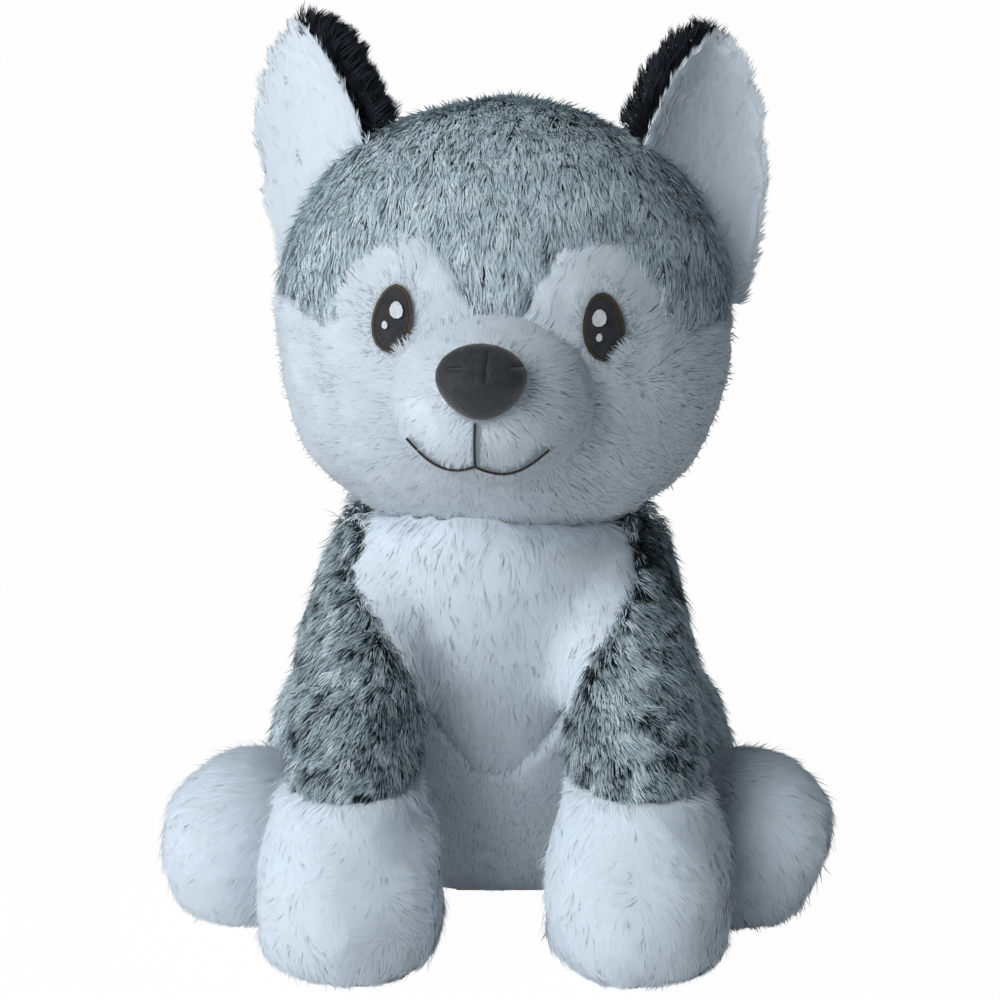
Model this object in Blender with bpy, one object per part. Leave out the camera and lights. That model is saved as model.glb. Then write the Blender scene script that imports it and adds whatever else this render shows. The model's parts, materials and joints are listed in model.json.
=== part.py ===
"""Seated plush husky, a stuffed toy sewn from pile-fabric panels.

The toy sits on its rump with both front paws planted ahead of it. It faces -Y and +Z is up.
Left and right are the toy's own, so its left side lies at +X. The origin is the middle of
the flat seat under the torso. Every length is in metres.

Each sewn piece is one closed solid. A piece that is sewn onto another is cut by a copy of
that neighbour grown by SEAM_GAP, so the two follow each other without touching.
"""

import math

import bmesh
import bpy
from mathutils import Matrix, Vector
from mathutils.bvhtree import BVHTree

# Clearance between two sewn pieces, and how far an appliqued piece stands off its fabric
SEAM_GAP = 0.0003
APPLIQUE_HEIGHT = 0.0022

# Torso, a pear that is flat where the toy sits on it
TORSO_WIDTH = 0.208
TORSO_DEPTH = 0.200
TORSO_HEIGHT = 0.272
CHEST_FORWARD = 0.042
PANEL_DEPTH = 0.060
BIB_SHIFT = -0.002
BIB_TOP_WIDTH = 0.158
BIB_WAIST_WIDTH = 0.092
BIB_BOTTOM_Z = 0.083
BELLY_WIDTH = 0.112

# Head, an egg with full cheeks, turned a little to the toy's right
HEAD_WIDTH = 0.266
HEAD_DEPTH = 0.232
HEAD_HEIGHT = 0.249
HEAD_X = 0.003
HEAD_Y = -0.040
HEAD_Z = 0.3365
HEAD_TURN = math.radians(-4.5)
HEAD_TILT = math.radians(1.8)
CHEEK_FULLNESS = 0.42

# Seam between the grey crown and the white face, measured from the middle of the head.
# The seam and the eyes sit a little to the toy's left of the muzzle.
FACE_SHIFT = 0.0035
PEAK_HALF_WIDTH = 0.0175
PEAK_Z = 0.020
BROW_CENTRE_X = 0.053
BROW_HALF_WIDTH = 0.036
BROW_TOP_Z = 0.057
TEMPLE_Z = 0.008
FACE_BACK_Y = 0.026

# Muzzle, nose, mouth and eyes, measured from the middle of the head
MUZZLE_WIDTH = 0.113
MUZZLE_DEPTH = 0.124
MUZZLE_HEIGHT = 0.096
MUZZLE_X = 0.0022
MUZZLE_Y = -0.104
MUZZLE_Z = -0.0262
NOSE_WIDTH = 0.049
NOSE_HEIGHT = 0.040
NOSE_BULGE = 0.013
NOSE_Z = -0.0065
MOUTH_WIDTH = 0.074
MOUTH_SAG = 0.011
MOUTH_BOW = 0.004
MOUTH_X = -0.002
MOUTH_Z = -0.0545
THREAD_RADIUS = 0.0011
EYE_SPACING = 0.115
EYE_WIDTH = 0.0188
EYE_HEIGHT = 0.0340
EYE_Z = 0.0145
EYE_SLANT = math.radians(9)
EYE_RIM_WIDTH = 0.0015
GLINT_SIZE = 0.0078
SMALL_GLINT_SIZE = 0.0034
GLINT_INWARD_SHARE = 0.13
GLINT_RISE_SHARE = 0.16
SMALL_GLINT_ASIDE_SHARE = 0.16
SMALL_GLINT_DROP_SHARE = 0.125
GLINT_UNEVENNESS = 0.05

# Ears, cupped leaves with a padded back and a white lining
EAR_LENGTH = 0.158
EAR_WIDTH = 0.106
EAR_THICKNESS = 0.030
LINING_THICKNESS = 0.007
LINING_SHARE = 0.97
EAR_CUP = 0.018
EAR_SHIFT = 0.0020
EAR_ROOT_X = 0.086
EAR_ROOT_Y = 0.016
EAR_ROOT_Z = 0.0125
EAR_LEAN = math.radians(11.7)
EAR_SWAY = math.radians(-3.2)
EAR_OUTWARD_TURN = math.radians(33)

# Front legs, which slope forward to planted paws
LEG_SPREAD = 0.160
LEG_SHIFT = -0.003
LEG_WIDTH = 0.080
LEG_DEPTH = 0.122
SHOULDER_SPREAD = 0.124
SHOULDER_Y = -0.058
SHOULDER_Z = 0.206
SHOULDER_TOP_RISE = 0.030
WRIST_Z = 0.098
WRIST_SETBACK = 0.024
PAW_WIDTH = 0.108
PAW_LENGTH = 0.126
PAW_FRONT_Y = -0.248

# Hind legs, spread to the sides with the soles turned forward
THIGH_WIDTH = 0.104
THIGH_LENGTH = 0.168
THIGH_HEIGHT = 0.124
THIGH_SPREAD = 0.188
THIGH_Y = -0.006
FOOT_WIDTH = 0.094
FOOT_LENGTH = 0.128
FOOT_HEIGHT = 0.088
FOOT_SPREAD = 0.298
FOOT_FRONT_Y = -0.158
FOOT_TURN = math.radians(16)

# How far the sole of each hind foot is rolled in under it
FOOT_TUCK = {"right": 0.006, "left": 0.022}

# Tail, laid back from the rump, with a white tip
TAIL_LENGTH = 0.104
TAIL_WIDTH = 0.058
TAIL_RISE = 0.058
TAIL_TIP_SHARE = 0.40

SIDES = {"right": -1.0, "left": 1.0}

GREY_PILE = ("grey_pile", (0.36, 0.42, 0.45), 0.95)
WHITE_PILE = ("white_pile", (0.74, 0.80, 0.86), 0.95)
SHORT_PILE = ("short_white_pile", (0.78, 0.83, 0.88), 0.92)
BLACK_PILE = ("black_pile", (0.012, 0.016, 0.022), 0.95)
NOSE_FABRIC = ("nose_fabric", (0.055, 0.052, 0.056), 0.62)
EYE_FELT = ("eye_felt", (0.035, 0.034, 0.040), 0.70)
RIM_THREAD = ("rim_thread", (0.150, 0.085, 0.045), 0.55)
MOUTH_THREAD = ("mouth_thread", (0.035, 0.026, 0.020), 0.60)
WHITE_FELT = ("white_felt", (0.85, 0.86, 0.88), 0.80)


def clear_scene() -> None:
    """Remove every object that the file holds."""
    for obj in list(bpy.data.objects):
        bpy.data.objects.remove(obj, do_unlink=True)


def material(finish: tuple) -> bpy.types.Material:
    """Return the Principled material of a finish, made on first use."""
    name, colour, roughness = finish
    found = bpy.data.materials.get(name)
    if found is not None:
        return found
    made = bpy.data.materials.new(name)
    made.use_nodes = True
    shader = made.node_tree.nodes["Principled BSDF"]
    shader.inputs["Base Color"].default_value = (*colour, 1.0)
    shader.inputs["Roughness"].default_value = roughness
    shader.inputs["Metallic"].default_value = 0.0
    return made


def add_object(name: str, bm: bmesh.types.BMesh) -> bpy.types.Object:
    """Turn a bmesh into an object with smooth faces.

    Its faces become triangles here, so that a form and its grown copy bend along the same edges.
    """
    bmesh.ops.remove_doubles(bm, verts=bm.verts, dist=1e-6)
    bmesh.ops.recalc_face_normals(bm, faces=bm.faces)
    bmesh.ops.triangulate(bm, faces=bm.faces)
    mesh = bpy.data.meshes.new(name)
    bm.to_mesh(mesh)
    bm.free()
    mesh.shade_smooth()
    obj = bpy.data.objects.new(name, mesh)
    bpy.context.scene.collection.objects.link(obj)
    return obj


def finish_piece(obj: bpy.types.Object, finish: tuple) -> bpy.types.Object:
    """Give a piece its material and mark the creases of its cut edges."""
    obj.data.materials.clear()
    obj.data.materials.append(material(finish))
    obj.data.shade_smooth()
    obj.data.set_sharp_from_angle(angle=math.radians(40))
    return obj


def clone(obj: bpy.types.Object, name: str) -> bpy.types.Object:
    """Return a copy of an object with its own mesh."""
    copy = bpy.data.objects.new(name, obj.data.copy())
    copy.matrix_world = obj.matrix_world.copy()
    bpy.context.scene.collection.objects.link(copy)
    return copy


def grown(obj: bpy.types.Object, amount: float) -> bpy.types.Object:
    """Return a copy whose surface stands off the original by an amount."""
    copy = clone(obj, obj.name + "_grown")
    normals = [v.normal.copy() for v in copy.data.vertices]
    for vert, normal in zip(copy.data.vertices, normals):
        vert.co += normal * amount
    return copy


def discard(*objects: bpy.types.Object) -> None:
    """Remove helper objects together with their meshes."""
    for obj in objects:
        mesh = obj.data
        bpy.data.objects.remove(obj, do_unlink=True)
        bpy.data.meshes.remove(mesh)


def boolean(obj: bpy.types.Object, tool: bpy.types.Object, operation: str) -> None:
    """Apply one exact Boolean to an object and keep its tool."""
    modifier = obj.modifiers.new("cut", "BOOLEAN")
    modifier.operation = operation
    modifier.solver = "EXACT"
    modifier.object = tool
    bpy.context.view_layer.update()
    evaluated = obj.evaluated_get(bpy.context.evaluated_depsgraph_get())
    result = bpy.data.meshes.new_from_object(evaluated)
    obj.modifiers.clear()
    old = obj.data
    obj.data = result
    bpy.data.meshes.remove(old)


def keep_largest_body(obj: bpy.types.Object) -> None:
    """Drop the offcuts that a cut leaves beside the main body."""
    bm = bmesh.new()
    bm.from_mesh(obj.data)
    bmesh.ops.remove_doubles(bm, verts=bm.verts, dist=2e-6)
    bmesh.ops.dissolve_degenerate(bm, edges=bm.edges, dist=2e-6)
    bodies = []
    unseen = set(bm.verts)
    while unseen:
        stack = [unseen.pop()]
        body = set(stack)
        while stack:
            for edge in stack.pop().link_edges:
                for vert in edge.verts:
                    if vert in unseen:
                        unseen.discard(vert)
                        body.add(vert)
                        stack.append(vert)
        bodies.append(body)
    bodies.sort(key=lambda body: extent(body), reverse=True)
    offcuts = [vert for body in bodies[1:] for vert in body]
    bmesh.ops.delete(bm, geom=offcuts, context="VERTS")
    bm.to_mesh(obj.data)
    bm.free()


def extent(verts) -> float:
    """Return the volume of the box round some vertices."""
    sides = [max(v.co[axis] for v in verts) - min(v.co[axis] for v in verts) for axis in range(3)]
    return sides[0] * sides[1] * sides[2]


def cut_clear(obj: bpy.types.Object, neighbours: list) -> None:
    """Cut a piece back so that it stands SEAM_GAP off its neighbours."""
    for neighbour in neighbours:
        tool = grown(neighbour, SEAM_GAP)
        boolean(obj, tool, "DIFFERENCE")
        discard(tool)
    keep_largest_body(obj)


def loft(name: str, rings: list) -> bpy.types.Object:
    """Skin a stack of closed rings and cap both of its ends.

    Args:
        name: name of the object.
        rings: lists of points, each as long as the first, from one end to the other.
    """
    bm = bmesh.new()
    loops = []
    for ring in rings:
        verts = [bm.verts.new(point) for point in ring]
        edges = [bm.edges.new((verts[i - 1], verts[i])) for i in range(len(verts))]
        loops.append((verts, edges))
    for (_, low), (_, high) in zip(loops, loops[1:]):
        bmesh.ops.bridge_loops(bm, edges=low + high)
    bm.faces.new(loops[0][0])
    bm.faces.new(loops[-1][0])
    return add_object(name, bm)


def oval_ring(centre: Vector, across: float, along: float, count: int, fullness: float = 2.0) -> list:
    """Return the points of a flat ring, an ellipse or a fuller oval, parallel to the floor."""
    points = []
    for i in range(count):
        angle = math.tau * i / count
        c = math.cos(angle)
        s = math.sin(angle)
        reach = (abs(c) ** fullness + abs(s) ** fullness) ** (-1.0 / fullness)
        points.append(centre + Vector((across * c * reach, along * s * reach, 0.0)))
    return points


def smooth_between(stations: list, steps: int) -> list:
    """Return stations with spline values between them.

    Args:
        stations: tuples of equal length, one for each given section.
        steps: how many sections each gap between two stations becomes.
    """
    made = []
    last = len(stations) - 1
    for i in range(last):
        before = stations[max(i - 1, 0)]
        here = stations[i]
        there = stations[i + 1]
        after = stations[min(i + 2, last)]
        for k in range(steps):
            t = k / steps
            made.append(tuple(
                0.5 * (2 * b + (c - a) * t + (2 * a - 5 * b + 4 * c - d) * t * t
                       + (3 * b - a - 3 * c + d) * t ** 3)
                for a, b, c, d in zip(before, here, there, after)))
    made.append(stations[last])
    return made


def stacked(name: str, stations: list, count: int, steps: int = 2) -> bpy.types.Object:
    """Loft a stuffed form from level stations of x, y, z, half width, half depth and fullness."""
    rings = []
    for x, y, z, across, along, fullness in smooth_between(stations, steps):
        rings.append(oval_ring(Vector((x, y, z)), across, along, count, fullness))
    return loft(name, rings)


def egg(name: str, size: Vector, across: int, up: int, low_fullness: float = 0.0) -> bpy.types.Object:
    """Make an egg whose lower half can be fuller than an ellipsoid's.

    Args:
        name: name of the object.
        size: the three side lengths.
        across: segments round the vertical axis.
        up: segments from pole to pole.
        low_fullness: what the lower half adds to the power 2 of an ellipsoid.
    """
    bm = bmesh.new()
    bmesh.ops.create_uvsphere(bm, u_segments=across, v_segments=up, radius=1.0)
    for vert in bm.verts:
        low = max(0.0, -vert.co.z)
        power = 2.0 + low_fullness * min(1.0, 2.0 * low)
        reach = sum(abs(value) ** power for value in vert.co) ** (-1.0 / power)
        vert.co = Vector(half * value * reach for half, value in zip(size / 2, vert.co))
    return add_object(name, bm)


def prism(name: str, outline: list, near: float, far: float) -> bpy.types.Object:
    """Extrude an outline of x and z values along Y, from near to far."""
    rings = [[Vector((x, y, z)) for x, z in outline] for y in (near, far)]
    return loft(name, rings)


def offset_outline(outline: list, amount: float) -> list:
    """Move the points of a closed anticlockwise outline outwards by an amount."""
    moved = []
    count = len(outline)
    for i, (x, z) in enumerate(outline):
        x0, z0 = outline[i - 1]
        x1, z1 = outline[(i + 1) % count]
        side = Vector((z1 - z0, x0 - x1)).normalized()
        moved.append((x + side.x * amount, z + side.y * amount))
    return moved


def split_by(obj: bpy.types.Object, outline: list, near: float, far: float, name: str):
    """Divide a form along an outline seen from the front.

    Args:
        obj: the form, which becomes the piece outside the outline.
        outline: closed anticlockwise list of x and z values.
        near: front end of the cut, in y.
        far: back end of the cut, in y.
        name: name of the piece inside the outline.

    Returns:
        The piece inside the outline.
    """
    inside = clone(obj, name)
    tool = prism("panel_cut", outline, near, far)
    boolean(inside, tool, "INTERSECT")
    keep_largest_body(inside)
    wide_tool = prism("panel_clearance", offset_outline(outline, SEAM_GAP), near, far + SEAM_GAP)
    boolean(obj, wide_tool, "DIFFERENCE")
    keep_largest_body(obj)
    discard(tool, wide_tool)
    return inside


def place_on_head(obj: bpy.types.Object) -> None:
    """Move a piece that was made round the middle of the head to where the head is."""
    turn = Matrix.Rotation(HEAD_TURN, 4, "Z") @ Matrix.Rotation(HEAD_TILT, 4, "Y")
    obj.data.transform(Matrix.Translation((HEAD_X, HEAD_Y, HEAD_Z)) @ turn)
    obj.data.update()


def face_seam() -> list:
    """Return the outline of the white face, with the crown's peak between two brow arches."""
    half = []
    half.append((PEAK_HALF_WIDTH * 0.5, PEAK_Z * 0.97))
    half.append((PEAK_HALF_WIDTH, PEAK_Z * 1.11))
    steps = 9
    for i in range(steps):
        angle = math.pi * (1.0 - (i + 0.5) / steps)
        x = BROW_CENTRE_X + BROW_HALF_WIDTH * math.cos(angle)
        lift = math.sin(angle) ** 0.8
        base = PEAK_Z + (TEMPLE_Z - PEAK_Z) * (i + 0.5) / steps
        half.append((x, base + (BROW_TOP_Z - base) * lift))
    half.append((BROW_CENTRE_X + BROW_HALF_WIDTH * 1.25, TEMPLE_Z))
    half.append((HEAD_WIDTH * 0.42, TEMPLE_Z * 1.3))
    half.append((HEAD_WIDTH * 0.65, TEMPLE_Z * 2.0))
    seam = list(reversed(half)) + [(-x, z) for x, z in half]
    corners = [(-HEAD_WIDTH * 0.65, -HEAD_HEIGHT), (HEAD_WIDTH * 0.65, -HEAD_HEIGHT)]
    return [(FACE_SHIFT + x, z) for x, z in seam + corners]


def oval_outline(x: float, z: float, wide: float, high: float, slant: float, count: int = 18) -> list:
    """Return a slanted oval that is broader below than above."""
    points = []
    for i in range(count):
        angle = math.tau * i / count
        px = 0.5 * wide * math.cos(angle) * (1.0 - 0.12 * math.sin(angle))
        pz = 0.5 * high * math.sin(angle)
        points.append((x + px * math.cos(slant) + pz * math.sin(slant),
                       z - px * math.sin(slant) + pz * math.cos(slant)))
    return points


def applique(name: str, skin: bpy.types.Object, outline: list, low: float, high: float,
             hole: list = None) -> bpy.types.Object:
    """Make a thin patch that lies on a skin inside an outline.

    Args:
        name: name of the patch.
        skin: the form that carries it.
        outline: closed anticlockwise list of x and z values.
        low: height of the underside above the skin.
        high: height of the face above the skin.
        hole: outline of an opening through the patch.
    """
    patch = grown(skin, high)
    patch.name = name
    inner = grown(skin, low)
    boolean(patch, inner, "DIFFERENCE")
    tool = prism("patch_cut", outline, -HEAD_DEPTH, 0.0)
    boolean(patch, tool, "INTERSECT")
    if hole:
        opening = prism("patch_hole", hole, -HEAD_DEPTH, 0.0)
        boolean(patch, opening, "DIFFERENCE")
        discard(opening)
    discard(inner, tool)
    keep_largest_body(patch)
    return patch


def build_eyes(skin: bpy.types.Object) -> None:
    """Lay each eye, its stitched rim and its two glints on the face."""
    for side, sign in SIDES.items():
        x = FACE_SHIFT + sign * EYE_SPACING / 2
        slant = -sign * EYE_SLANT
        outline = oval_outline(x, EYE_Z, EYE_WIDTH, EYE_HEIGHT, slant)
        rim_inner = offset_outline(outline, SEAM_GAP)
        rim_outer = offset_outline(outline, EYE_RIM_WIDTH + SEAM_GAP)
        eye = applique("eye_" + side, skin, outline, SEAM_GAP, APPLIQUE_HEIGHT)
        rim = applique("eye_rim_" + side, skin, rim_outer, SEAM_GAP, APPLIQUE_HEIGHT, rim_inner)
        finish_piece(eye, EYE_FELT)
        finish_piece(rim, RIM_THREAD)
        place_on_head(eye)
        place_on_head(rim)
        uneven = sign * GLINT_UNEVENNESS
        glints = (
            ("glint_", -sign * GLINT_INWARD_SHARE, GLINT_RISE_SHARE, GLINT_SIZE, 1.2),
            ("small_glint_", uneven - SMALL_GLINT_ASIDE_SHARE, -uneven / 2 - SMALL_GLINT_DROP_SHARE,
             SMALL_GLINT_SIZE, 1.3),
        )
        for stem, share_x, share_z, size, stretch in glints:
            spot = oval_outline(x + share_x * EYE_WIDTH, EYE_Z + share_z * EYE_HEIGHT,
                                size, size * stretch, 0.0, 10)
            low = APPLIQUE_HEIGHT + SEAM_GAP
            glint = applique(stem + side, skin, spot, low, low + APPLIQUE_HEIGHT / 2)
            finish_piece(glint, WHITE_FELT)
            place_on_head(glint)


def build_nose(muzzle_form: bpy.types.Object) -> bpy.types.Object:
    """Make the padded nose, a rounded triangle that sits high on the front of the muzzle."""
    bm = bmesh.new()
    bmesh.ops.create_uvsphere(bm, u_segments=20, v_segments=10, radius=1.0)
    front = front_of_muzzle(NOSE_Z)
    depth = NOSE_BULGE * 2.0
    for vert in bm.verts:
        x, y, z = vert.co
        taper = 1.0 + 0.20 * z - 0.10 * max(0.0, z) ** 2
        vert.co = Vector((
            0.5 * NOSE_WIDTH * x * taper,
            front - NOSE_BULGE * 0.35 + depth * y * 0.5 + 0.22 * NOSE_HEIGHT * max(z, 0.0),
            NOSE_Z + 0.5 * NOSE_HEIGHT * z))
    nose = add_object("nose", bm)
    cut_clear(nose, [muzzle_form])
    return nose


def front_of_muzzle(z: float) -> float:
    """Return the y of the muzzle's front at a height."""
    share = (z - MUZZLE_Z) / (MUZZLE_HEIGHT / 2)
    return MUZZLE_Y - MUZZLE_DEPTH / 2 * math.sqrt(max(0.0, 1.0 - share * share))


def build_mouth(muzzle_form: bpy.types.Object, nose: bpy.types.Object) -> None:
    """Lay the mouth on the muzzle, a line down from the nose and two smiling arcs."""
    surface = BVHTree.FromObject(muzzle_form, bpy.context.evaluated_depsgraph_get())
    top = min(v.co.z for v in nose.data.vertices) - THREAD_RADIUS - SEAM_GAP
    lines = {"mouth_line": [(MOUTH_X, top + (MOUTH_Z - top) * i / 6) for i in range(7)]}
    for side, sign in SIDES.items():
        start = THREAD_RADIUS * 2 + SEAM_GAP
        arc = []
        for i in range(11):
            x = start + (MOUTH_WIDTH / 2 - start) * i / 10
            share = x / (MOUTH_WIDTH / 2)
            z = MOUTH_Z - MOUTH_BOW * math.sin(math.pi * share) + MOUTH_SAG * share ** 2.5
            arc.append((MOUTH_X + sign * x, z))
        lines["mouth_arc_" + side] = arc
    for name, points in lines.items():
        path = []
        for x, z in points:
            hit, normal, _, _ = surface.ray_cast(Vector((x, -1.0, z)), Vector((0.0, 1.0, 0.0)))
            path.append(hit + normal * (THREAD_RADIUS + SEAM_GAP * 2))
        thread = sweep(name, path, THREAD_RADIUS, 6)
        finish_piece(thread, MOUTH_THREAD)
        place_on_head(thread)


def sweep(name: str, path: list, radius: float, count: int) -> bpy.types.Object:
    """Sweep a round thread along a path."""
    rings = []
    for i, point in enumerate(path):
        ahead = path[min(i + 1, len(path) - 1)] - path[max(i - 1, 0)]
        ahead.normalize()
        side = ahead.cross(Vector((0.0, 1.0, 0.0))).normalized()
        out = side.cross(ahead)
        rings.append([point + radius * (math.cos(a) * side + math.sin(a) * out)
                      for a in (math.tau * k / count for k in range(count))])
    return loft(name, rings)


def ear_ring(height: float, half: float, front: float, back: float, cup: float, count: int) -> list:
    """Return one level of an ear leaf, whose rims curl forward.

    Args:
        height: distance along the ear.
        half: half width.
        front: y of the front face at the middle.
        back: y of the back face at the middle.
        cup: how far the rims curl forward.
        count: points across each face.
    """
    points = []
    middle = (front + back) / 2
    for face in (front, back):
        row = []
        for i in range(count):
            s = math.cos(math.pi * (i + 0.5) / count)
            bulge = (face - middle) * math.sqrt(1.0 - s * s) ** 0.7
            row.append(Vector((half * s, middle + bulge - cup * s * s, height)))
        points += row if face == front else reversed(row)
    return points


def ear_leaf(name: str, length: float, width: float, front: float, thick: float) -> bpy.types.Object:
    """Loft one layer of an ear from its root to its rounded tip."""
    rings = []
    levels = 10
    for i in range(levels + 1):
        share = math.sin(0.5 * math.pi * i / levels)
        share = min(share, 0.997)
        half = 0.5 * width * (1.0 - share ** 2.4) ** 0.70 * (0.90 + 0.25 * share)
        slim = (1.0 - share ** 6) ** 0.5
        back = front + thick * slim
        rings.append(ear_ring(length * share, half, front, back, EAR_CUP * half / (0.5 * width), 9))
    return loft(name, rings)


def place_ear(obj: bpy.types.Object, sign: float) -> None:
    """Stand an ear on its side of the head, leaning and turned outwards.

    Both ears also sit and sway a little to one side.
    """
    lean = Matrix.Rotation(sign * EAR_LEAN + EAR_SWAY, 4, "Y")
    turn = lean @ Matrix.Rotation(sign * EAR_OUTWARD_TURN, 4, "Z")
    root = Vector((EAR_SHIFT + sign * EAR_ROOT_X, EAR_ROOT_Y, EAR_ROOT_Z))
    obj.data.transform(Matrix.Translation(root) @ turn)
    obj.data.update()
    place_on_head(obj)


def build_ears(head_form: bpy.types.Object) -> None:
    """Make both ears, each a black padded back with a white lining in its cup."""
    for side, sign in SIDES.items():
        back = ear_leaf("ear_back_" + side, EAR_LENGTH, EAR_WIDTH, 0.0, EAR_THICKNESS)
        lining_front = -SEAM_GAP - LINING_THICKNESS
        lining = ear_leaf("ear_lining_" + side, EAR_LENGTH * (1.0 + LINING_SHARE) / 2,
                          EAR_WIDTH * LINING_SHARE, lining_front, LINING_THICKNESS)
        place_ear(back, sign)
        place_ear(lining, sign)
        cut_clear(back, [head_form])
        cut_clear(lining, [head_form, back])
        finish_piece(back, BLACK_PILE)
        finish_piece(lining, SHORT_PILE)


def build_head() -> bpy.types.Object:
    """Make the head with everything on it and return its whole form."""
    size = Vector((HEAD_WIDTH, HEAD_DEPTH, HEAD_HEIGHT))
    skin = egg("head_form", size, 34, 20, CHEEK_FULLNESS)
    build_eyes(skin)
    muzzle_form = egg("muzzle_form", Vector((MUZZLE_WIDTH, MUZZLE_DEPTH, MUZZLE_HEIGHT)), 24, 13)
    muzzle_form.data.transform(Matrix.Translation((MUZZLE_X, MUZZLE_Y, MUZZLE_Z)))
    muzzle_form.data.update()
    nose = build_nose(muzzle_form)
    build_mouth(muzzle_form, nose)
    muzzle = clone(muzzle_form, "muzzle")
    cut_clear(muzzle, [skin])
    crown = clone(skin, "head_crown")
    face = split_by(crown, face_seam(), -HEAD_DEPTH, FACE_BACK_Y, "face")
    for piece, finish in ((nose, NOSE_FABRIC), (muzzle, SHORT_PILE), (crown, GREY_PILE),
                          (face, WHITE_PILE)):
        finish_piece(piece, finish)
        place_on_head(piece)
    place_on_head(skin)
    build_ears(skin)
    discard(muzzle_form)
    return skin


def torso_stations() -> list:
    """Return the torso's sections from the flat seat up to the neck."""
    wide = TORSO_WIDTH / 2
    deep = TORSO_DEPTH / 2
    profile = (
        (0.00, 0.86, 0.84, 0.10),
        (0.05, 0.97, 0.96, 0.05),
        (0.18, 1.00, 1.00, 0.00),
        (0.36, 0.98, 0.98, 0.28),
        (0.56, 0.93, 0.95, 0.74),
        (0.74, 0.88, 0.89, 1.00),
        (0.90, 0.76, 0.76, 1.00),
        (1.00, 0.58, 0.58, 0.96),
    )
    return [(0.0, -CHEST_FORWARD * forward, TORSO_HEIGHT * share, wide * across, deep * along, 2.15)
            for share, across, along, forward in profile]


def bib_outline() -> list:
    """Return the outline of the chest bib, a shield that narrows between the legs."""
    top = TORSO_HEIGHT
    half = [
        (BIB_WAIST_WIDTH * 0.11, BIB_BOTTOM_Z),
        (BIB_WAIST_WIDTH * 0.31, BIB_BOTTOM_Z + top * 0.07),
        (BIB_WAIST_WIDTH * 0.44, BIB_BOTTOM_Z + top * 0.145),
        (BIB_WAIST_WIDTH * 0.50, top * 0.50),
        (BIB_WAIST_WIDTH * 0.55, top * 0.56),
        (BIB_TOP_WIDTH * 0.385, top * 0.625),
        (BIB_TOP_WIDTH * 0.495, top * 0.725),
        (BIB_TOP_WIDTH * 0.475, top * 0.785),
        (BIB_TOP_WIDTH * 0.43, top * 0.86),
        (BIB_TOP_WIDTH * 0.42, top * 1.10),
    ]
    return [(BIB_SHIFT + x, z) for x, z in half + [(-x, z) for x, z in reversed(half)]]


def belly_outline() -> list:
    """Return the outline of the belly panel, which starts under the bib."""
    half = BELLY_WIDTH / 2
    below = -BIB_BOTTOM_Z
    above = BIB_BOTTOM_Z + half
    return [(-half, below), (half, below), (half * 1.04, BIB_BOTTOM_Z), (half, above),
            (-half, above), (-half * 1.04, BIB_BOTTOM_Z)]


def cut_out_bib(obj: bpy.types.Object) -> None:
    """Clear the place of the bib from a piece that lies beside it."""
    far = -PANEL_DEPTH + 2 * SEAM_GAP
    tool = prism("bib_clearance", offset_outline(bib_outline(), SEAM_GAP), -TORSO_DEPTH, far)
    boolean(obj, tool, "DIFFERENCE")
    keep_largest_body(obj)
    discard(tool)


def build_torso(head_form: bpy.types.Object, leg_forms: dict) -> bpy.types.Object:
    """Make the torso with its bib and belly and return its whole form.

    The bib is one panel that runs over the chest and onto the front of both shoulders.
    """
    form = stacked("torso_form", torso_stations(), 28)
    reach = -TORSO_DEPTH
    bib = clone(form, "chest_bib")
    for leg_form in leg_forms.values():
        boolean(bib, leg_form, "UNION")
    tool = prism("bib_cut", bib_outline(), reach, -PANEL_DEPTH + SEAM_GAP)
    boolean(bib, tool, "INTERSECT")
    cut_clear(bib, [head_form])
    keep_largest_body(bib)
    discard(tool)
    torso = clone(form, "torso")
    cut_clear(torso, [head_form])
    cut_out_bib(torso)
    belly = split_by(torso, belly_outline(), reach, -PANEL_DEPTH, "belly")
    finish_piece(torso, GREY_PILE)
    finish_piece(bib, WHITE_PILE)
    finish_piece(belly, SHORT_PILE)
    return form


def leg_stations(sign: float) -> list:
    """Return a front leg's sections from the sole up to the shoulder."""
    x = LEG_SHIFT + sign * LEG_SPREAD / 2
    shoulder_x = sign * SHOULDER_SPREAD / 2
    inward = shoulder_x - x
    half = LEG_WIDTH / 2
    deep = LEG_DEPTH / 2
    paw_half = PAW_WIDTH / 2
    paw_deep = PAW_LENGTH / 2
    paw_y = PAW_FRONT_Y + paw_deep
    rise = SHOULDER_Z - WRIST_Z
    wrist_y = paw_y + WRIST_SETBACK
    slope = SHOULDER_Y - wrist_y
    return [
        (x, paw_y + paw_deep * 0.10, 0.0, paw_half * 0.80, paw_deep * 0.80, 2.2),
        (x, paw_y + paw_deep * 0.03, WRIST_Z * 0.12, paw_half * 0.96, paw_deep * 0.96, 2.2),
        (x, paw_y, WRIST_Z * 0.40, paw_half, paw_deep, 2.2),
        (x, paw_y + WRIST_SETBACK * 0.33, WRIST_Z * 0.75, paw_half * 0.92, paw_deep * 0.90, 2.1),
        (x, wrist_y, WRIST_Z, half * 0.97, deep * 0.90, 2.0),
        (x + inward * 0.16, wrist_y + slope * 0.36, WRIST_Z + rise * 0.36, half, deep, 2.0),
        (x + inward * 0.52, wrist_y + slope * 0.70, WRIST_Z + rise * 0.70, half * 0.98, deep, 2.0),
        (shoulder_x, SHOULDER_Y, SHOULDER_Z, half * 0.94, deep * 0.92, 2.0),
        (shoulder_x * 0.92, SHOULDER_Y + deep * 0.13, SHOULDER_Z + SHOULDER_TOP_RISE,
         half * 0.62, deep * 0.62, 2.0),
    ]


def front_leg_forms() -> dict:
    """Return the whole form of each front leg, from the sole to the shoulder."""
    return {side: stacked("leg_form_" + side, leg_stations(sign), 20) for side, sign in SIDES.items()}


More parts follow.
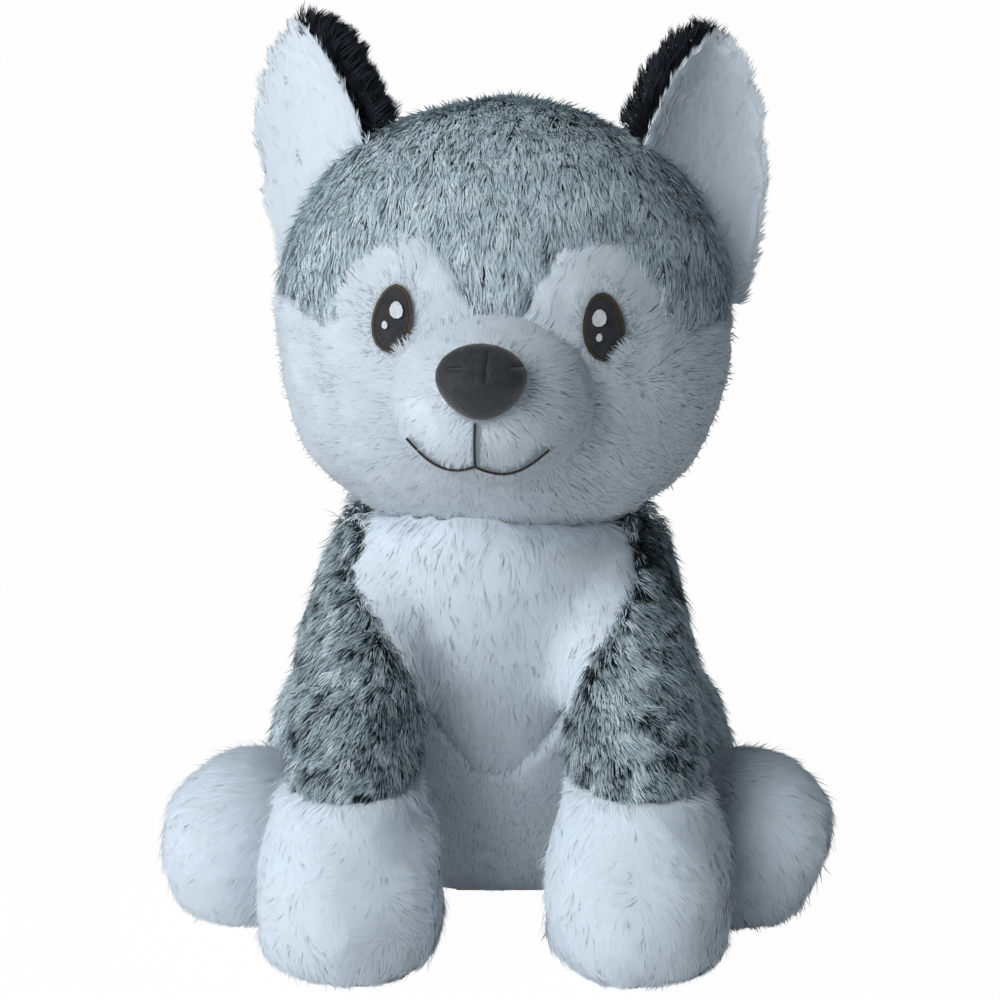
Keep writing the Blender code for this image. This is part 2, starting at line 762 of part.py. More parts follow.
def build_front_legs(forms: dict, head_form: bpy.types.Object, torso_form: bpy.types.Object) -> None:
    """Make each front leg as a grey sleeve with a white paw."""
    for side, form in forms.items():
        sleeve = clone(form, "front_leg_" + side)
        cut_clear(sleeve, [torso_form, head_form])
        cut_out_bib(sleeve)
        reach = 2.0 * PAW_WIDTH
        low = [(-reach, -reach), (reach, -reach), (reach, WRIST_Z), (-reach, WRIST_Z)]
        paw = split_by(sleeve, low, -1.0, 1.0, "front_paw_" + side)
        finish_piece(sleeve, GREY_PILE)
        finish_piece(paw, WHITE_PILE)


def build_hind_legs(torso_form: bpy.types.Object, leg_forms: dict) -> None:
    """Make each hind leg, a grey thigh beside the rump and a white foot turned forward."""
    for side, sign in SIDES.items():
        thigh_profile = ((0.0, 0.86), (0.08, 0.97), (0.30, 1.0), (0.55, 0.93), (0.78, 0.74),
                         (0.93, 0.46), (1.0, 0.16))
        thigh_x = sign * THIGH_SPREAD / 2
        thigh = stacked("thigh_" + side, [
            (thigh_x, THIGH_Y, THIGH_HEIGHT * share,
             THIGH_WIDTH / 2 * size, THIGH_LENGTH / 2 * size, 2.1)
            for share, size in thigh_profile], 16)
        foot_profile = ((0.0, 0.76), (0.12, 0.94), (0.45, 1.0), (0.74, 0.86), (0.92, 0.54), (1.0, 0.20))
        tuck = sign * FOOT_TUCK[side]
        foot = stacked("hind_foot_" + side, [
            (-tuck * (1.0 - share) ** 2, 0.0, FOOT_HEIGHT * share,
             FOOT_WIDTH / 2 * size, FOOT_LENGTH / 2 * size, 2.2)
            for share, size in foot_profile], 18)
        place = Vector((sign * FOOT_SPREAD / 2, FOOT_FRONT_Y + FOOT_LENGTH / 2, 0.0))
        foot.data.transform(Matrix.Translation(place) @ Matrix.Rotation(sign * FOOT_TURN, 4, "Z"))
        foot.data.update()
        foot_form = clone(foot, "foot_form")
        cut_clear(foot, [torso_form, leg_forms[side]])
        cut_clear(thigh, [torso_form, leg_forms[side], foot_form])
        discard(foot_form)
        finish_piece(thigh, GREY_PILE)
        finish_piece(foot, WHITE_PILE)


def build_tail(torso_form: bpy.types.Object) -> None:
    """Make the tail, which leaves the rump and curves up a little, with a white tip."""
    start = Vector((0.0, TORSO_DEPTH * 0.42, TAIL_WIDTH * 0.62))
    length = TAIL_LENGTH + TORSO_DEPTH * 0.08
    rings = []
    levels = 11
    count = 16
    for i in range(levels + 1):
        share = min(math.sin(0.5 * math.pi * i / levels), 0.995)
        lift = TAIL_RISE * share ** 1.8
        centre = start + Vector((0.0, length * share, lift))
        slope = 1.8 * TAIL_RISE * max(share, 0.05) ** 0.8 / length
        radius = TAIL_WIDTH / 2 * (0.80 + 0.55 * share - 0.25 * share ** 2) * (1.0 - share ** 5) ** 0.5
        up = Vector((0.0, -slope, 1.0)).normalized()
        across = Vector((1.0, 0.0, 0.0))
        rings.append([centre + radius * (math.cos(a) * across + math.sin(a) * up)
                      for a in (math.tau * k / count for k in range(count))])
    tail = loft("tail", rings)
    cut_clear(tail, [torso_form])
    seam_y = start.y + length * (1.0 - TAIL_TIP_SHARE)
    tip = clone(tail, "tail_tip")
    reach = 2.0 * TAIL_LENGTH
    square = [(-reach, -reach), (reach, -reach), (reach, reach), (-reach, reach)]
    behind = prism("tip_cut", square, seam_y + SEAM_GAP, seam_y + reach)
    ahead = prism("tail_cut", square, seam_y, seam_y + reach)
    boolean(tip, behind, "INTERSECT")
    boolean(tail, ahead, "DIFFERENCE")
    keep_largest_body(tip)
    keep_largest_body(tail)
    discard(behind, ahead)
    finish_piece(tail, GREY_PILE)
    finish_piece(tip, WHITE_PILE)


def main() -> None:
    """Build the toy from the head down."""
    clear_scene()
    head_form = build_head()
    leg_forms = front_leg_forms()
    torso_form = build_torso(head_form, leg_forms)
    build_front_legs(leg_forms, head_form, torso_form)
    build_hind_legs(torso_form, leg_forms)
    build_tail(torso_form)
    discard(head_form, torso_form, *leg_forms.values())


main()
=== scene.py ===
"""Looks for a seated plush husky: its pile, felt, thread and nose cloth, and the studio round it."""

from __future__ import annotations

import json
import logging
import math
from dataclasses import dataclass, replace
from enum import Enum

import bmesh
import bpy
import numpy as np
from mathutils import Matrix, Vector, kdtree
from mathutils.bvhtree import BVHTree

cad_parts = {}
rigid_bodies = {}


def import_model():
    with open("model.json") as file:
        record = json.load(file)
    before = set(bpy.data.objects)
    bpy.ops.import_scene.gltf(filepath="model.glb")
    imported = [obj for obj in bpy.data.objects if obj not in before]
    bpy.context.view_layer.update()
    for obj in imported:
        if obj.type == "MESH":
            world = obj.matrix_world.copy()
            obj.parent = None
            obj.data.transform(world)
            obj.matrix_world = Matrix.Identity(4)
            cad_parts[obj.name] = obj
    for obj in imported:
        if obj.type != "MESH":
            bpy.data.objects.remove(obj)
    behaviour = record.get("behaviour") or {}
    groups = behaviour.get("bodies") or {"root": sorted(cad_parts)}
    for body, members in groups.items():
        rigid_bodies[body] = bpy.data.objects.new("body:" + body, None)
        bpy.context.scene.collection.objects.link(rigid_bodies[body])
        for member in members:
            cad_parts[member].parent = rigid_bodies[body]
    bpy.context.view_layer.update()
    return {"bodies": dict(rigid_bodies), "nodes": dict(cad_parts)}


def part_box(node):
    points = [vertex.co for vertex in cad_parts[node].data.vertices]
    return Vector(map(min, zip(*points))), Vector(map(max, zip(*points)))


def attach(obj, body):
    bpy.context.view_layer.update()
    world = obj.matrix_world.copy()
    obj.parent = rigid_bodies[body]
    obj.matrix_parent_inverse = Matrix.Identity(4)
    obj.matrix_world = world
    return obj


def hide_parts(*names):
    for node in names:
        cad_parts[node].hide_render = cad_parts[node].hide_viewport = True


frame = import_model()
BODY = next(iter(frame["bodies"]))
PILE_MAP = "OFBake"
MERGE = 1e-6
log = logging.getLogger("plush_husky")

Point = tuple[float, float, float]
Colour = tuple[float, float, float]
Locks = dict[str, np.ndarray]


class Side(Enum):
    """The toy's own sides, with the sign of X on each."""

    LEFT = 1
    RIGHT = -1

    @property
    def word(self) -> str:
        """The side as it ends a node's name."""
        return self.name.lower()

    def mirror(self, left: Point) -> Point:
        """A place or direction of the left side, as it lies on this side."""
        return (left[0] * self.value, *left[1:])


# Shaders


class Value:
    """A shader socket that takes part in Python arithmetic."""

    def __init__(self, shader: Shader, socket: bpy.types.NodeSocket) -> None:
        """Wraps one output socket of a shader's node."""
        self.shader = shader
        self.socket = socket

    def other(self, output: int | str) -> Value:
        """Another output of the same node."""
        return Value(self.shader, self.socket.node.outputs[output])

    def _maths(self, operation: str, first: Value | float, second: Value | float) -> Value:
        """The result of a Math node."""
        return self.shader.node("ShaderNodeMath", {"operation": operation}, {0: first, 1: second})

    def __add__(self, other: Value | float) -> Value:
        """self + other."""
        return self._maths("ADD", self, other)

    def __sub__(self, other: Value | float) -> Value:
        """self - other."""
        return self._maths("SUBTRACT", self, other)

    def __rsub__(self, other: float) -> Value:
        """other - self."""
        return self._maths("SUBTRACT", other, self)

    def __mul__(self, other: Value | float) -> Value:
        """self * other."""
        return self._maths("MULTIPLY", self, other)

    def __abs__(self) -> Value:
        """The size of self without its sign."""
        return self._maths("ABSOLUTE", self, 0.0)

    def wave(self) -> Value:
        """The sine of self."""
        return self._maths("SINE", self, 0.0)

    def step(self, low: float, high: float) -> Value:
        """A smooth rise from 0 at low to 1 at high."""
        sockets = {"Value": self, "From Min": low, "From Max": high}
        return self.shader.node("ShaderNodeMapRange", {"interpolation_type": "SMOOTHSTEP"}, sockets)


class Shader:
    """The nodes of one material or world, each made by the same method."""

    MIX_FIRST, MIX_SECOND, MIX_RESULT = 6, 7, 2

    def __init__(self, owner: bpy.types.Material | bpy.types.World) -> None:
        """Starts with no nodes."""
        owner.use_nodes = True
        self.owner = owner
        self.tree = owner.node_tree
        self.tree.nodes.clear()

    def node(
        self, kind: str, settings: dict | None = None, sockets: dict | None = None, output: int | str = 0
    ) -> Value | None:
        """Adds a node, sets it and joins its sockets.

        Args:
            kind: The node's type.
            settings: The node's own properties, set before its sockets.
            sockets: A number, colour or Value for each input, by name or place.
            output: Which output is wanted.

        Returns:
            That output, or nothing from a node that has none.
        """
        made = self.tree.nodes.new(kind)
        for name, value in (settings or {}).items():
            setattr(made, name, value)
        for name, value in (sockets or {}).items():
            if isinstance(value, Value):
                self.tree.links.new(value.socket, made.inputs[name])
            else:
                made.inputs[name].default_value = value
        return Value(self, made.outputs[output]) if made.outputs else None

    def blend(
        self, factor: Value | float, first: Value | Colour, second: Value | Colour, way: str = "MIX"
    ) -> Value:
        """Mixes two colours.

        Args:
            factor: How much of the second colour shows.
            first: The colour at 0.
            second: The colour at 1.
            way: The Mix node's blend type.

        Returns:
            The mixed colour.
        """
        colours = {
            place: (*colour, 1.0) if isinstance(colour, tuple) else colour
            for place, colour in ((self.MIX_FIRST, first), (self.MIX_SECOND, second))
        }
        settings = {"data_type": "RGBA", "blend_type": way}
        return self.node("ShaderNodeMix", settings, {0: factor, **colours}, self.MIX_RESULT)

    def grey(self, level: Value) -> Value:
        """A grey of that level, to multiply a colour with."""
        return self.node("ShaderNodeCombineColor", {}, {0: level, 1: level, 2: level})

    def spot(self) -> Value:
        """The surface point in the object's own space, in metres."""
        return self.node("ShaderNodeTexCoord", {}, {}, "Object")

    def place(self) -> tuple[Value, Value, Value]:
        """The surface point's own X, Y and Z, in metres."""
        split = self.node("ShaderNodeSeparateXYZ", {}, {0: self.spot()})
        return tuple(split.other(axis) for axis in range(3))

    def grain(self, size: float, detail: float = 2.0) -> Value:
        """An even noise about 0.5, whose bumps lie about that size apart in metres."""
        return self.node(
            "ShaderNodeTexNoise", {}, {"Vector": self.spot(), "Scale": 1 / size, "Detail": detail}
        )

    def bump(self, height: Value, depth: float) -> Value:
        """A normal from a height, with its depth in metres."""
        return self.node("ShaderNodeBump", {}, {"Height": height, "Distance": depth, "Strength": 1.0})

    def finish(self, colour: Value, sockets: dict) -> bpy.types.Material:
        """Ends the material in one Principled shader.

        Args:
            colour: The base colour.
            sockets: The shader's other sockets.

        Returns:
            The finished material.
        """
        surface = self.node("ShaderNodeBsdfPrincipled", {}, {"Base Color": colour, **sockets})
        self.node("ShaderNodeOutputMaterial", {}, {"Surface": surface})
        return self.owner


@dataclass(frozen=True)
class Finish:
    """A procedural finish, whose material is made once."""

    name: str

    def draw(self, shader: Shader) -> bpy.types.Material:
        """Draws the finish.

        Args:
            shader: The empty material.

        Returns:
            The finished material.
        """
        raise NotImplementedError

    def material(self) -> bpy.types.Material:
        """Makes the material, or gives the one already made."""
        found = bpy.data.materials.get(self.name)
        return found or self.draw(Shader(bpy.data.materials.new(self.name)))


@dataclass(frozen=True)
class PileFinish(Finish):
    """Pile that changes colour from root to tip.

    The map's U runs along each lock and its V holds the lock's tone, so locks of one tone share a place.
    """

    slot: str
    root: Colour
    tip: Colour
    pale: Colour
    turn: float
    softness: float
    spread: float
    streaks: float
    sheen: float = 0.15

    STREAKS_ALONG = 1.6
    STREAKS_ACROSS = 230.0
    PALE_FROM = 0.45

    def draw(self, shader: Shader) -> bpy.types.Material:
        """Draws the change from root to tip, with fine streaks along each lock."""
        split = shader.node(
            "ShaderNodeSeparateXYZ", {}, {0: shader.node("ShaderNodeUVMap", {"uv_map": PILE_MAP})}
        )
        along, tone = split.other(0), split.other(1)
        threads = shader.node(
            "ShaderNodeCombineXYZ", {}, {0: along * self.STREAKS_ALONG, 1: tone * self.STREAKS_ACROSS}
        )
        noise = shader.node(
            "ShaderNodeTexNoise", {"noise_dimensions": "2D"}, {"Vector": threads, "Scale": 1.0, "Detail": 1.0}
        )
        streak = (noise - 0.5) * self.streaks
        ripeness = along + (tone - 0.5) * self.spread + streak
        light = ripeness.step(self.turn - self.softness / 2, self.turn + self.softness / 2)
        # Root to tip: the heather's dark roots are its own colour, while the white piles' darker roots are
        # painted shade among the strands.
        colour = shader.blend(light, self.root, self.tip)
        colour = shader.blend(light * tone.step(self.PALE_FROM, 1.0), colour, self.pale)
        colour = shader.blend(1.0, colour, shader.grey(streak + 1.0), "MULTIPLY")
        return shader.finish(
            colour,
            {"Roughness": 0.8, "Specular IOR Level": 0.2, "Sheen Weight": self.sheen, "Sheen Roughness": 0.4},
        )


@dataclass(frozen=True)
class FeltFinish(Finish):
    """Pressed felt with loose fibres."""

    deep: Colour
    bright: Colour
    fibre: float = 0.0009
    depth: float = 0.0003

    def draw(self, shader: Shader) -> bpy.types.Material:
        """Draws fibres and soft clouds."""
        fibres = shader.grain(self.fibre, 4.0)
        cloud = shader.grain(self.fibre * 7)
        colour = shader.blend((fibres * 0.7 + cloud * 0.5).step(0.35, 0.85), self.deep, self.bright)
        normal = shader.bump(fibres, self.depth)
        return shader.finish(
            colour, {"Roughness": 0.75, "Specular IOR Level": 0.3, "Sheen Weight": 0.2, "Normal": normal}
        )


@dataclass(frozen=True)
class ThreadFinish(Finish):
    """Twisted or satin thread, with fine turns of fibre across it."""

    deep: Colour
    bright: Colour
    turn: float = 0.0006
    roughness: float = 0.5
    slant: float = 0.8
    depth: float = 0.00018

    def draw(self, shader: Shader) -> bpy.types.Material:
        """Draws the turns and their fibres."""
        across, _, up = shader.place()
        turns = ((across * self.slant + up) * (2 * math.pi / self.turn)).wave() * 0.5 + 0.5
        fibres = shader.grain(self.turn * 1.5, 3.0)
        colour = shader.blend(turns * 0.5 + fibres * 0.5, self.deep, self.bright)
        normal = shader.bump(turns * 0.6 + fibres * 0.6, self.depth)
        return shader.finish(
            colour, {"Roughness": self.roughness, "Specular IOR Level": 0.4, "Normal": normal}
        )


@dataclass(frozen=True)
class Seams:
    """Where the nose is sewn, in metres from its middle: a slanting centre seam and two drooping darts."""

    shift: float = 0.0020
    slant: float = 0.12
    foot: float = 0.002
    rise: float = 0.0110
    inner: float = 0.0115
    outer: float = 0.0200
    droop: float = 0.12
    edge: float = 0.0015


@dataclass(frozen=True)
class NoseFinish(Finish):
    """Brushed nose cloth with a pressed centre seam and two darts."""

    seams: Seams
    middle: Vector
    deep: Colour = (0.009, 0.010, 0.015)
    bright: Colour = (0.036, 0.035, 0.042)
    pressed: Colour = (0.008, 0.008, 0.009)
    stitch: float = 0.0008
    fade: float = 0.002
    nap: float = 0.0006
    pebble: float = 0.0015
    cloud: float = 0.006
    depth: float = 0.0009

    def draw(self, shader: Shader) -> bpy.types.Material:
        """Draws the nap, with dark seams where the nose is sewn."""
        sewn = self.seams
        foot = self.middle.z + sewn.foot
        across, _, up = shader.place()
        off_centre = abs(across - (up - foot) * sewn.slant - (self.middle.x + sewn.shift))
        centre = (1.0 - off_centre.step(0.0, self.stitch)) * up.step(foot, foot + self.fade)
        level = abs(up - (self.middle.z + sewn.rise) + off_centre * sewn.droop)
        dart = (1.0 - level.step(0.0, self.stitch)) * off_centre.step(sewn.inner, sewn.inner + sewn.edge)
        dart = dart * (1.0 - off_centre.step(sewn.outer, sewn.outer + self.fade))
        seams = centre * 0.4 + dart
        nap = shader.grain(self.nap, 3.0)
        colour = shader.blend(
            (nap * 0.5 + shader.grain(self.cloud) * 0.5).step(0.3, 0.75), self.deep, self.bright
        )
        colour = shader.blend(seams * 0.75, colour, self.pressed)
        normal = shader.bump(nap * 0.3 + shader.grain(self.pebble) * 0.6 - seams, self.depth)
        return shader.finish(
            colour, {"Roughness": 0.52, "Specular IOR Level": 0.35, "Sheen Weight": 0.35, "Normal": normal}
        )


HEATHER = PileFinish(
    "heather_pile", "grey_pile", root=(0.075, 0.105, 0.125), tip=(0.60, 0.71, 0.765), pale=(0.82, 0.90, 0.94),
    turn=0.30, softness=0.5, spread=0.7, streaks=0.36,
)
DARK_HEATHER = PileFinish(
    "dark_heather_pile", "grey_pile", root=(0.012, 0.022, 0.03), tip=(0.38, 0.475, 0.52),
    pale=(0.74, 0.83, 0.87), turn=0.46, softness=0.42, spread=0.95, streaks=0.5,
)
# White pile: its darker root colour is painted shade among the strands; the cloth is white all through.
WHITE = PileFinish(
    "white_pile", "white_pile", root=(0.50, 0.57, 0.64), tip=(0.77, 0.835, 0.895), pale=(0.85, 0.90, 0.95),
    turn=0.2, softness=0.5, spread=0.6, streaks=0.14,
)
# Ear-lining white: the white pile drawn darker all over, as painted shade.
SHADED_SHORT_WHITE = replace(
    WHITE, name="short_white_pile", slot="short_white_pile", root=(0.40, 0.455, 0.505),
    tip=(0.55, 0.605, 0.66), pale=(0.62, 0.67, 0.72), streaks=0.12,
)
BELLY_WHITE = replace(WHITE, name="belly_pile", slot="short_white_pile")
# Face and muzzle white: the white pile drawn darker all over, as painted shade.
SHADED_FACE_WHITE = replace(
    WHITE, name="face_pile", root=(0.43, 0.49, 0.55), tip=(0.68, 0.735, 0.79), pale=(0.76, 0.81, 0.86)
)
SHADED_MUZZLE_WHITE = replace(SHADED_FACE_WHITE, name="muzzle_pile", slot="short_white_pile")
BLACK = PileFinish(
    "black_pile", "black_pile", root=(0.002, 0.003, 0.004), tip=(0.007, 0.010, 0.014),
    pale=(0.020, 0.030, 0.040), turn=0.5, softness=0.6, spread=0.5, streaks=0.5,
)
EYE_FELT = FeltFinish("charcoal_felt", (0.014, 0.014, 0.018), (0.045, 0.042, 0.045))
GLINT_FELT = FeltFinish("white_satin_stitch", (0.55, 0.57, 0.62), (0.92, 0.92, 0.94), fibre=0.0005)
RIM_THREAD = ThreadFinish("brown_rim_thread", (0.014, 0.009, 0.006), (0.115, 0.075, 0.038))
MOUTH_THREAD = ThreadFinish(
    "dark_mouth_thread", (0.012, 0.009, 0.007), (0.07, 0.05, 0.038), turn=0.0008, roughness=0.6
)


# Meshes


def unit(vectors: np.ndarray) -> np.ndarray:
    """Each vector at a length of one."""
    return vectors / np.maximum(np.linalg.norm(vectors, axis=-1, keepdims=True), 1e-9)


def ripple(points: np.ndarray, length: float, seed: int) -> np.ndarray:
    """A smooth wander through space.

    Args:
        points: Where it is read, one row each.
        length: About how far apart its crests lie, in metres.
        seed: Which wander it is.

    Returns:
        A value from about -1 to 1 for each point.
    """
    rng = np.random.default_rng(seed)
    waves = unit(rng.normal(size=(5, 3))) * (2 * math.pi / length) * rng.uniform(0.7, 1.4, (5, 1))
    return np.sin(points @ waves.T + rng.uniform(0, 2 * math.pi, 5)).sum(1) / 2.6


def link(thing: bpy.types.Object) -> bpy.types.Object:
    """Puts an object into the scene."""
    bpy.context.scene.collection.objects.link(thing)
    return thing


def put_in_place(name: str, mesh: bpy.types.Mesh, slot: str, *nodes: str) -> bpy.types.Object:
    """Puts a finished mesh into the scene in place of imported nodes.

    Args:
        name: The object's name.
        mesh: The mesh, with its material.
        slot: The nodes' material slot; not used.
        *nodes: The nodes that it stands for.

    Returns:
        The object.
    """
    piece = link(bpy.data.objects.new(name, mesh))
    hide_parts(*nodes)
    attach(piece, BODY)
    return piece


def even_net(source: bpy.types.Object, voxel: float) -> bpy.types.Mesh:
    """Gives an even net of faces over a node's shape.

    Args:
        source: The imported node.
        voxel: The length of a face's side, in metres.

    Returns:
        A new closed mesh.
    """
    mesh = bpy.data.meshes.new(f"{source.name}_cloth")
    bm = bmesh.new()
    bm.from_mesh(source.data)
    bmesh.ops.remove_doubles(bm, verts=bm.verts, dist=MERGE)
    bm.to_mesh(mesh)
    bm.free()
    holder = link(bpy.data.objects.new(mesh.name, mesh))
    remesh = holder.modifiers.new("net", "REMESH")
    remesh.mode = "VOXEL"
    remesh.voxel_size = voxel
    made = bpy.data.meshes.new_from_object(holder.evaluated_get(bpy.context.evaluated_depsgraph_get()))
    bpy.data.objects.remove(holder)
    bpy.data.meshes.remove(mesh)
    return made


def relax(bm: bmesh.types.BMesh, verts: list[bmesh.types.BMVert], factor: float, times: int) -> None:
    """Evens out the surface round the given vertices."""
    for _ in range(times):
        bmesh.ops.smooth_vert(
            bm, verts=verts, factor=factor, use_axis_x=True, use_axis_y=True, use_axis_z=True
        )


class Solids:
    """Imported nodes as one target, to tell open cloth from covered and to measure distances."""

    REACH = 0.0025
    BACK = 0.0012
    NUDGE = 1e-5

    def __init__(self, nodes: dict[str, bpy.types.Object]) -> None:
        """Reads every node's surface once."""
        corners, faces, self.owner = [], [], []
        for name, node in nodes.items():
            base = len(corners)
            corners += [vert.co.copy() for vert in node.data.vertices]
            faces += [[base + corner for corner in face.vertices] for face in node.data.polygons]
            self.owner += [name] * len(node.data.polygons)
        self.tree = BVHTree.FromPolygons(corners, faces)

    def covers(self, point: Vector, normal: Vector, own: str) -> bool:
        """True if another piece lies close over this point.

        Args:
            point: The point on a piece's surface.
            normal: The way that surface faces.
            own: The piece's node.

        Returns:
            Whether the cloth is hidden there.
        """
        start, left = point - normal * self.BACK, self.REACH + self.BACK
        while left > 0:
            _, _, met, far = self.tree.ray_cast(start, normal, left)
            if met is None:
                return False
            if self.owner[met] != own:
                return True
            start = start + normal * (far + self.NUDGE)
            left -= far + self.NUDGE
        return False

    def distances(self, points: np.ndarray, most: float) -> np.ndarray:
        """How far each point is from the nodes, or most where it is further."""
        found = np.full(len(points), most)
        for row, point in enumerate(points):
            far = self.tree.find_nearest(point, most)[3]
            if far is not None:
                found[row] = far
        return found


# Pile


@dataclass(frozen=True)
class Coat:
    """How one cloth's pile grows, in metres and degrees.

    Strands gather into locks. The share called loose stands up from them, and the share called shading
    casts a shadow.
    """

    length: float
    width: float
    spacing: float
    inset: float
    root_lift: float
    tip_lift: float
    lock: float
    gather: float
    wander: float = 22.0
    stray: float = 12.0
    lean: float = 22.0
    softness: float = 0.5
    unruly: float = 9.0
    loose: float = 0.0
    swirl: float = 0.0
    shading: float = 1.0

    LOOSE_LIFT = 20.0


LONG_COAT = Coat(
    length=0.0135, width=0.00088, spacing=0.00102, inset=0.0044, root_lift=27.0, tip_lift=6.0, lock=0.005,
    gather=0.45, wander=16.0, stray=8.0, softness=0.8, unruly=6.0, loose=0.06, shading=0.8,
)
BODY_COAT = replace(LONG_COAT, width=0.00102, spacing=0.0012)
SLEEVE_COAT = replace(LONG_COAT, wander=24.0, stray=11.0, lock=0.006, gather=0.4)
FACE_COAT = Coat(
    length=0.0120, width=0.00080, spacing=0.00105, inset=0.0020, root_lift=9.0, tip_lift=1.5, lock=0.007,
    gather=0.35, wander=18.0, stray=8.0, lean=8.0, softness=1.0, unruly=2.6, loose=0.015, shading=0.05,
)
FLUFFY_COAT = replace(
    FACE_COAT, length=0.0140, width=0.00090, spacing=0.00112, inset=0.0030, root_lift=12.0, tip_lift=3.0,
    gather=0.4, wander=26.0, stray=9.0, loose=0.03,
)
PAW_COAT = replace(FLUFFY_COAT, length=0.0125, swirl=38.0)
MUZZLE_COAT = replace(
    FACE_COAT, length=0.0112, width=0.00074, spacing=0.00096, root_lift=13.0, tip_lift=3.0, wander=24.0,
    unruly=3.0,
)
SHORT_COAT = replace(
    FACE_COAT, length=0.0064, width=0.00070, spacing=0.00092, inset=0.0011, lock=0.004, wander=14.0,
    loose=0.02, shading=0.0,
)
EAR_COAT = replace(
    MUZZLE_COAT, length=0.0090, inset=0.0022, root_lift=24.0, tip_lift=9.0, lock=0.005, shading=0.03
)
BIB_COAT = replace(FLUFFY_COAT, gather=0.5, unruly=4.0, shading=0.12)
SHAGGY_COAT = Coat(
    length=0.0150, width=0.00088, spacing=0.00105, inset=0.0045, root_lift=58.0, tip_lift=30.0, lock=0.005,
    gather=0.65,
)


@dataclass(frozen=True)
class Whorl:
    """A place that pile grows away from."""

    centre: Point
    reach: float
    weight: float = 1.0


@dataclass(frozen=True)
class Dent:
    """A tuck where stuffing gives and the pile parts; the pile in it is drawn darker, as painted shade."""

    centre: Point
    reach: float
    depth: float

    def pull(self, points: np.ndarray) -> np.ndarray:
        """How strongly the dent acts on each point, from 0 to 1."""
        return np.exp(-((np.linalg.norm(points - np.array(self.centre), axis=1) / self.reach) ** 2))


@dataclass(frozen=True)
class Tuft:
    """Locks that lie over the edge of an eye."""

    root: Point
    along: Point
    facing: Point
    span: float = 0.014
    ragged: float = 0.006
    rise: float = 0.0030
    fan: float = 22.0
    count: int = 90

    FORWARDS = (0.0, -1.0, 0.0)

    def grow(self, coat: Coat, rng: np.random.Generator) -> Locks:
        """Grows the tuft's locks.

        Args:
            coat: The coat that it belongs to.
            rng: The piece's own random numbers.

        Returns:
            What a lock is made of, by name.
        """
        column = (self.count, 1)
        along, out = unit(np.array(self.along)), np.array(self.FORWARDS)
        side = np.cross(along, out)
        turn = np.radians(self.fan) * rng.normal(size=column)
        way = along * np.cos(turn) + side * np.sin(turn)
        back = rng.uniform(0.0, self.ragged, column)
        length = coat.length * rng.uniform(0.3, 0.75, column) + 0.6 * back
        root = np.array(self.root) + side * self.span * rng.uniform(-0.5, 0.5, column) - along * back
        lift = self.rise * rng.uniform(0.75, 1.15, column) * out
        return {
            "root": root,
            "bend": root + Strand.BEND * length * way + lift,
            "tip": root + length * way + lift * rng.uniform(0.6, 0.95, column),
            "normal": np.tile(unit(np.array(self.facing)), column),
            "width": coat.width * rng.uniform(0.7, 1.1, self.count),
            "tone": rng.uniform(0.3, 0.8, self.count),
            "lean": np.zeros(self.count),
            "chance": rng.random(self.count),
        }


@dataclass(frozen=True)
class Comb:
    """Which way pile is brushed: along one direction, and away from whorls."""

    along: Point
    whorls: tuple[Whorl, ...] = ()

    WEAK = 0.05
    SPARE = (1.0, 0.3, 0.0)

    def directions(self, points: np.ndarray, normals: np.ndarray) -> np.ndarray:
        """The brushed direction in the surface at each point.

        Args:
            points: The roots.
            normals: The surface's normals there.

        Returns:
            One unit vector for each root, at right angles to its normal.
        """
        flow = np.tile(np.array(self.along, float), (len(points), 1))
        for whorl in self.whorls:
            away = points - np.array(whorl.centre)
            far = np.linalg.norm(away, axis=1, keepdims=True)
            flow += whorl.weight * np.exp(-((far / whorl.reach) ** 2)) * away / np.maximum(far, 1e-6)
        flow -= normals * (flow * normals).sum(1, keepdims=True)
        weak = np.linalg.norm(flow, axis=1) < self.WEAK
        flow[weak] += np.cross(normals[weak], self.SPARE)
        return unit(flow)


class Strand:
    """One flat strand of pile, from root to tip, that every coat repeats."""

    BEND = 0.45
    ROUND = 0.55

    def __init__(self) -> None:
        """Makes the strand once: a narrow kite, folded across its widest place."""
        bm = bmesh.new()
        bmesh.ops.create_circle(bm, cap_ends=True, segments=4, radius=0.5)
        bmesh.ops.connect_verts(bm, verts=[vert for vert in bm.verts if abs(vert.co.x) > 0.4])
        for vert in bm.verts:
            vert.co.y = 0.0 if vert.co.y < -0.4 else 1.0 if vert.co.y > 0.4 else self.BEND
        bm.verts.index_update()
        self.places = np.array([vert.co[:] for vert in bm.verts])
        self.faces = [[loop.vert.index for loop in face.loops] for face in bm.faces]
        bm.free()

    @property
    def triangles(self) -> int:
        """How many triangles one strand takes."""
        return sum(len(face) - 2 for face in self.faces)


@dataclass
class Skin:
    """A piece's backing cloth: its points, faces, outer normals and how much pile each face carries."""

    points: np.ndarray
    faces: list[tuple[int, ...]]
    normals: np.ndarray
    cover: np.ndarray

    @classmethod
    def bare(cls) -> Skin:
        """No cloth at all."""
        return cls(np.empty((0, 3)), [], np.empty((0, 3)), np.empty(0))


class Assembly:
    """A part of the toy that makes its own pieces."""

    def build(self, shop: Workshop) -> None:
        """Makes the pieces.

        Args:
            shop: What all the pieces share.
        """
        raise NotImplementedError


